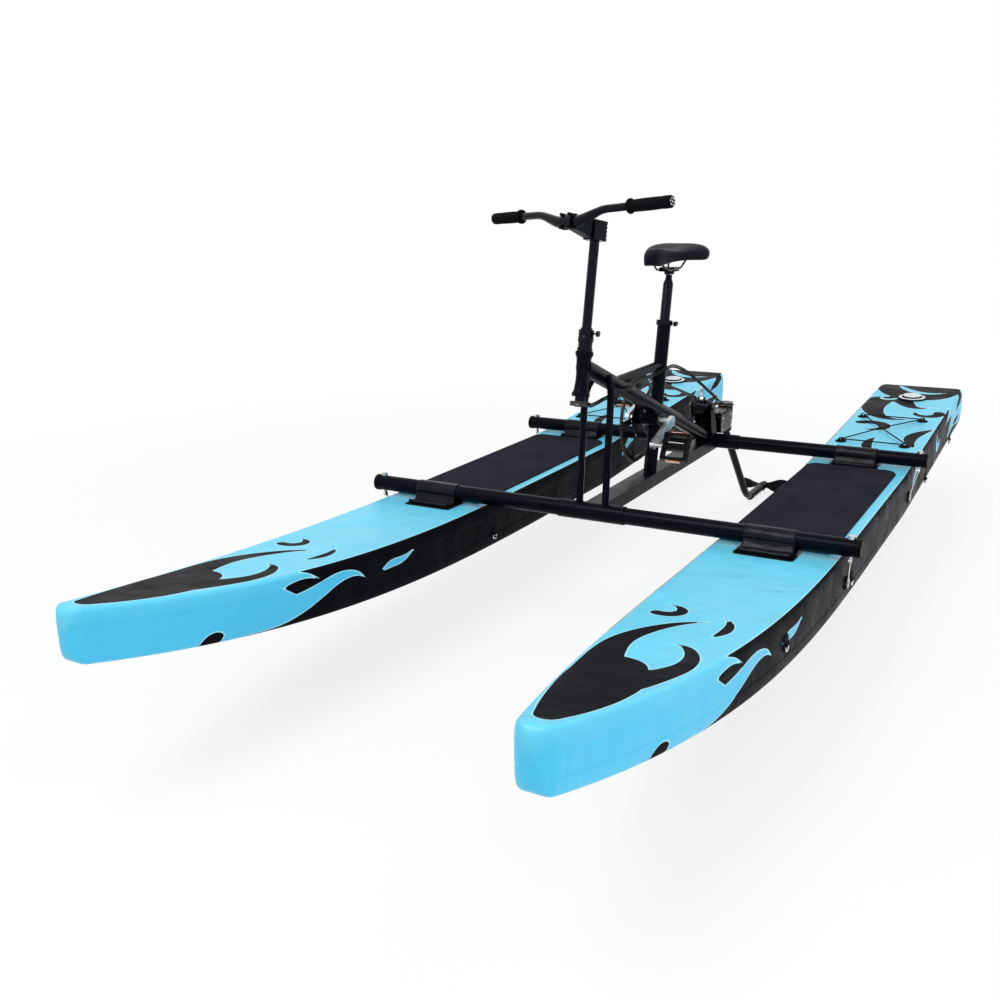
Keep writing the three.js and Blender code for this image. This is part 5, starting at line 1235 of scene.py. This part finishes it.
for word in ("left", "right"):
    start, end = long_line("grip_" + word)
    way = (end - start).normalized()
    points, faces = ladder(lathe(grip_profile((end - start).length), 36))
    grip = mesh_piece("rubber_grip_" + word, along_line(points, start, end), faces, black_rubber,
                      "handlepost_group", crisp=True)
    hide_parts("grip_" + word)
    points, faces = ladder(lathe(PLATE_ROWS, 36))
    plate = mesh_piece("grip_end_plate_" + word, along_line(points, end, end + way), faces, black_plastic,
                       "handlepost_group", crisp=True)
    stud = shape_mesh("grip_stud", *ladder(lathe(STUD_ROWS, 12)))
    side_way = way.orthogonal().normalized()
    up_way = way.cross(side_way)
    middle = end + way * STUD_SEAT
    spots = [middle + side_way * x + up_way * y for x, y in circle(STUD_CIRCLE, 6)] + [middle]
    studs = copies("grip_studs_" + word, spots, way, side_way, stud, bright_steel, "handlepost_group")

# %% [markdown]
# ## Small fittings
# Plastic caps close the cross bars. The inflation valve has a pale ring and a lid on its black
# flange. Each pedal has an amber reflector at its front and back. Chrome bolts sit on the side
# of the drive's housing and on the chainring, and weld beads run round the feet of the struts.

# %% Bar caps
CAP_RADIUS, CAP_LENGTH, CAP_LIP, CAP_ROUND = 0.0268, 0.014, 0.0034, 0.0012
BAR_END, CAP_FIT = 0.800, 0.0002

cap_end = CAP_LENGTH + 0.0014
cap_rows = [(AXIS, -0.001), (BAR_RADIUS + CAP_FIT, -0.001), (BAR_RADIUS + CAP_FIT, 0.0), (CAP_RADIUS, 0.0004),
            (CAP_RADIUS, CAP_LENGTH), (CAP_RADIUS - CAP_ROUND, cap_end), (AXIS, cap_end)]
cap_shape = shape_mesh("bar_cap", *ladder(lathe(cap_rows, 36)))
cap_spots = [(side * (BAR_END - CAP_LENGTH + CAP_LIP), y, BAR_Z) for side in (-1, 1) for y in (-BAR_Y, BAR_Y)]
cap_ways = [(side, 0, 0) for side in (-1, 1) for _ in (0, 1)]
caps = copies("bar_caps", cap_spots, cap_ways, (0, 0, 1), cap_shape, black_plastic, "frame")

# %% Valve rings and lids
VALVE_Y, VALVE_HALF = 1.641, 0.06
RING_LIFT, LID_LIFT = 0.0055, 0.0122
RING_ROWS = [(0.0430, 0.0), (0.0545, 0.0), (0.0560, 0.0006), (0.0565, 0.0016), (0.0550, 0.0026),
             (0.0450, 0.0030), (0.0430, 0.0022)]
LID_ROWS = [(AXIS, 0.0), (0.0375, 0.0), (0.0385, 0.0010), (0.0380, 0.0042), (0.0335, 0.0054),
            (0.0315, 0.0046), (0.0165, 0.0046), (0.0150, 0.0054), (AXIS, 0.0056)]


def on_valve(points, side, lift):
    """Points of a form about Z, set over the valve on the deck's slope."""
    slope = math.atan((deck_at(VALVE_Y + VALVE_HALF) - deck_at(VALVE_Y - VALVE_HALF)) / (2 * VALVE_HALF))
    place = Matrix.Translation((side * HULL_CENTRE, VALVE_Y, deck_at(VALVE_Y) + lift))
    return moved(points, place @ Matrix.Rotation(slope, 4, "X"))


valve_ring = ladder(list(zip(*lathe(RING_ROWS, 64))), closed=True)
valve_lid = ladder(lathe(LID_ROWS, 48))
for side, word in SIDES:
    for title, (points, faces), lift in (("ring", valve_ring, RING_LIFT), ("lid", valve_lid, LID_LIFT)):
        piece = mesh_piece(f"valve_{title}_{word}", on_valve(points, side, lift), faces, white_plastic,
                           "frame", crisp=True)

# %% Pedal reflectors
PEDAL_HALF_Y, PEDAL_TILT = 0.045, math.radians(60)
REFLECTOR, REFLECTOR_EDGE = (0.023, 0.0022, 0.0085), 0.0006  # half sizes, and the chamfer
PEDALS = {"left": (0.155, -0.262572, 0.344297), "right": (-0.155, 0.062572, 0.443703)}


def bar_box(half, edge):
    """A block with its long edges chamfered, as rings along X."""
    x, y, z = half
    ring = [(-y, -z + edge), (-y + edge, -z), (y - edge, -z), (y, -z + edge), (y, z - edge), (y - edge, z),
            (-y + edge, z), (-y, z - edge)]
    return ladder([[(s, a, b) for a, b in ring] for s in (-x, x)])


for word, place in PEDALS.items():
    for way, end in ((-1, "front"), (1, "rear")):
        points, faces = bar_box(REFLECTOR, REFLECTOR_EDGE)
        # the pedal's own frame is turned about X
        seat = Matrix.Translation(place) @ Matrix.Rotation(PEDAL_TILT, 4, "X")
        seat @= Matrix.Translation((0, way * (PEDAL_HALF_Y + REFLECTOR[1]), 0))
        reflector = mesh_piece(f"pedal_reflector_{word}_{end}", moved(points, seat), faces, orange_reflector,
                               f"pedal_{word}_body", smooth=False)

# %% Drive bolts
HEX_RADIUS, HEX_HEIGHT = 0.0042, 0.0028
WASHER_ROWS = [(AXIS, -0.0002), (0.0056, -0.0002), (0.0056, 0.0006), (AXIS, 0.0008)]
BOLT_PLACES = [(y, z) for y in (0.556, 0.655) for z in (0.236, 0.280)]

hex_head = ladder(lathe([(HEX_RADIUS, 0.0), (HEX_RADIUS, HEX_HEIGHT)], 6))
bolt_shape = shape_mesh("hex_bolt", *joined(hex_head, ladder(lathe(WASHER_ROWS, 20))))
housing_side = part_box("drive_housing")[1].x
bolt_spots = [(housing_side, y, z) for y, z in BOLT_PLACES]
bolts = copies("drive_bolts", bolt_spots, (1, 0, 0), (0, 0, 1), bolt_shape, bright_steel, "frame")

# %% Chainring bolts
RING_BOLTS, RING_BOLT_CIRCLE, RING_FACE = 5, 0.060, 0.0013
RING_BOLT_ROWS = [(AXIS, -0.0002), (0.0040, -0.0002), (0.0040, 0.0010), (0.0030, 0.0016),
                  (0.0018, 0.0016), (0.0016, 0.0006), (AXIS, 0.0006)]

low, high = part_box("chainring")
bolt_head = shape_mesh("ring_bolt", *ladder(lathe(RING_BOLT_ROWS, 20)))
spots, ways = [], []
for way in (-1, 1):
    for i in range(RING_BOLTS):
        a = 2 * math.pi * (i + 0.5) / RING_BOLTS
        spots.append(((low.x + high.x) / 2 + way * RING_FACE, RING_AXLE[0] + RING_BOLT_CIRCLE * math.cos(a),
                      RING_AXLE[1] + RING_BOLT_CIRCLE * math.sin(a)))
        ways.append((way, 0, 0))
ring_bolts = copies("ring_bolts", spots, ways, (0, 0, 1), bolt_head, bright_steel, "cranks")

# %% Weld beads
STRUT_X, STRUT_RADIUS, SLEEVE_RADIUS, BEAD, BEAD_GAP = 0.043, 0.011, 0.0282, 0.0021, 0.0006
for side, word in SIDES:
    foot = []
    for across, run in circle(STRUT_RADIUS + BEAD_GAP, 48):
        rise = math.sqrt(SLEEVE_RADIUS ** 2 - run ** 2)
        foot.append((side * STRUT_X + across, -BAR_Y + run, BAR_Z + rise))
    bead = tube("strut_weld_" + word, foot, BEAD, black_paint, "frame", 10, closed=True)

# %% [markdown]
# ## Tie-downs
# A tie-down's pin, hook and ring are steel, but the disc that holds its ring is a rubber patch
# glued to the wall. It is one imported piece, so its finish changes with the distance from the
# middle: what lies against the wall is rubber.

# %% Tie-down finish
TIE_DOWNS = [f"{end}_{word}_tie_down" for end in ("front", "rear") for word in ("left", "right")]
PATCH_HEIGHT = 0.002
STEEL_TONE, PATCH_TONE = (0.62, 0.62, 0.60), (0.004, 0.004, 0.005)

wall_reach = PATCH_HEIGHT + max(min(abs(end.x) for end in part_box(name)) for name in TIE_DOWNS)
s = Surface("tie_down_steel", STEEL_TONE, 0.25)
steel = s.span(s.math("ABSOLUTE", s.axis("X")), wall_reach + 0.0001, wall_reach + 0.0002)
s.colour(s.mix(steel, PATCH_TONE, STEEL_TONE))
s.gloss(s.mix_value(steel, 0.6, 0.25))
s.shine(s.mix_value(steel, 0.04, 0.5))
s.tree.links.new(steel, s.shader.inputs["Metallic"])
tie_down_steel = s.material

# %% [markdown]
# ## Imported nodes
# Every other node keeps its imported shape. A tree merges its loose triangles, and its finish is
# assigned to its slots. The blocky pieces also get a small bevel, which gives their edges the
# light of a real casting.

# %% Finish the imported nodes
FINISH = {
    "black_paint": black_paint, "black_alloy": black_alloy, "silver_alloy": silver_alloy,
    "bright_steel": bright_steel, "dark_steel": dark_steel, "black_rubber": black_rubber,
    "black_plastic": black_plastic, "black_vinyl": black_vinyl,
}
BEVELLED = {
    "stem": 0.0040, "faceplate": 0.0020, "pedal_left": 0.0014, "pedal_right": 0.0014, "drive_bracket": 0.0008,
    "saddle_clamp": 0.0010, "release_lever": 0.0006, "crank_left": 0.0012, "crank_right": 0.0012,
}
DARK_LEVERS = ("post_clamp_lever", "seat_clamp_lever")
FLAT_ANGLE, BEVEL_ANGLE = math.radians(1), math.radians(40)

slots = {row["node"]: row["material_slot"] for row in frame["record"]["subparts"]}
for name, node in nodes.items():
    if node.hide_render:
        continue
    material = FINISH[slots[name]]
    if name in DARK_LEVERS:
        material = black_alloy
    if name in TIE_DOWNS:
        material = tie_down_steel
    node.data.materials.clear()
    node.data.materials.append(material)
    clean = node.modifiers.new("clean", "NODES")
    clean.node_group = CLEAN
    if name in BEVELLED:
        flat = node.modifiers.new("flat faces", "DECIMATE")
        flat.decimate_type = "DISSOLVE"
        flat.angle_limit = FLAT_ANGLE
        bevel = node.modifiers.new("bevel", "BEVEL")
        bevel.width = BEVELLED[name]
        bevel.segments = 3
        bevel.limit_method = "ANGLE"
        bevel.angle_limit = BEVEL_ANGLE

# %% [markdown]
# ## Floor and light
# A pale studio: a wide floor just below the propeller, a soft sky and one large soft lamp.
# Two weaker lamps fill the walls and the far side, and stay out of shiny faces, so that black
# keeps its depth. What the camera and shiny faces see of the floor and sky is white.

# %% Stage
FLOOR_SIZE, FLOOR_GAP = 40.0, 0.004
SHADE_NEAR, SHADE_FAR, SHADE_SHARE = 1.5, 4.5, 0.8  # the floor's shadow fades between these distances
SKY_COLOUR, SKY_LIGHT = (0.90, 0.95, 1.0, 1), 0.62


def white_rays(tree):
    """One for the rays that show the white backdrop: from the camera, off a shiny face or through glass."""
    rays = tree.nodes.new("ShaderNodeLightPath").outputs
    value = rays["Is Camera Ray"]
    for title in ("Is Glossy Ray", "Is Transmission Ray"):
        node = new_node(tree, "Math", {0: value, 1: rays[title]})
        node.operation = "MAXIMUM"
        value = node.outputs[0]
    return value


def blend_out(tree, share, usual, white, output):
    """Sends a blend of two shaders to a tree's output node."""
    blend = new_node(tree, "MixShader", {0: share, 1: usual, 2: white})
    tree.links.new(blend.outputs[0], tree.nodes[output].inputs["Surface"])


floor_z = cad_box[0][2] - FLOOR_GAP
corners = [(x * FLOOR_SIZE, y * FLOOR_SIZE, floor_z) for x, y in ((-1, -1), (1, -1), (1, 1), (-1, 1))]
floor = add_object("floor", plain_mesh("floor", corners, [(0, 1, 2, 3)]))
s = Surface("pale_floor", (0.82, 0.82, 0.82), 0.9, Specular_IOR_Level=0.0)
far = s.add("VectorMath", {0: s.place})
far.operation = "LENGTH"
fade = s.span(far.outputs["Value"], SHADE_NEAR, SHADE_FAR, SHADE_SHARE, 1.0)
seen = s.math("MULTIPLY", white_rays(s.tree), fade)
glow = s.add("Emission", {"Strength": 1.0})
blend_out(s.tree, seen, s.shader.outputs["BSDF"], glow.outputs["Emission"], "Material Output")
floor.data.materials.append(s.material)

world = bpy.data.worlds.new("studio")
scene.world = world
world.use_nodes = True
tree = world.node_tree
sky = tree.nodes["Background"]
sky.inputs["Color"].default_value = SKY_COLOUR
sky.inputs["Strength"].default_value = SKY_LIGHT
white = new_node(tree, "Background", {"Color": (1, 1, 1, 1)})
blend_out(tree, white_rays(tree), sky.outputs["Background"], white.outputs["Background"], "World Output")


def lamp(name, place, target, size, power, mirrored=True):
    data = bpy.data.lights.new(name, "AREA")
    data.shape = "DISK"
    data.size = size
    data.energy = power
    light = add_object(name, data)
    light.visible_glossy = mirrored
    light.location = place
    light.rotation_euler = (Vector(target) - Vector(place)).to_track_quat("-Z", "Y").to_euler()


lamp("key_lamp", (-1.2, -3.4, 4.8), (0.0, -0.2, 0.2), 3.2, 180.0)
lamp("wall_lamp", (4.6, -3.2, 1.6), (0.2, -0.6, 0.2), 2.6, 75.0, mirrored=False)
lamp("rim_lamp", (2.6, 3.4, 3.2), (0.0, 0.2, 0.3), 2.4, 60.0, mirrored=False)

scene.view_settings.view_transform = "Standard"
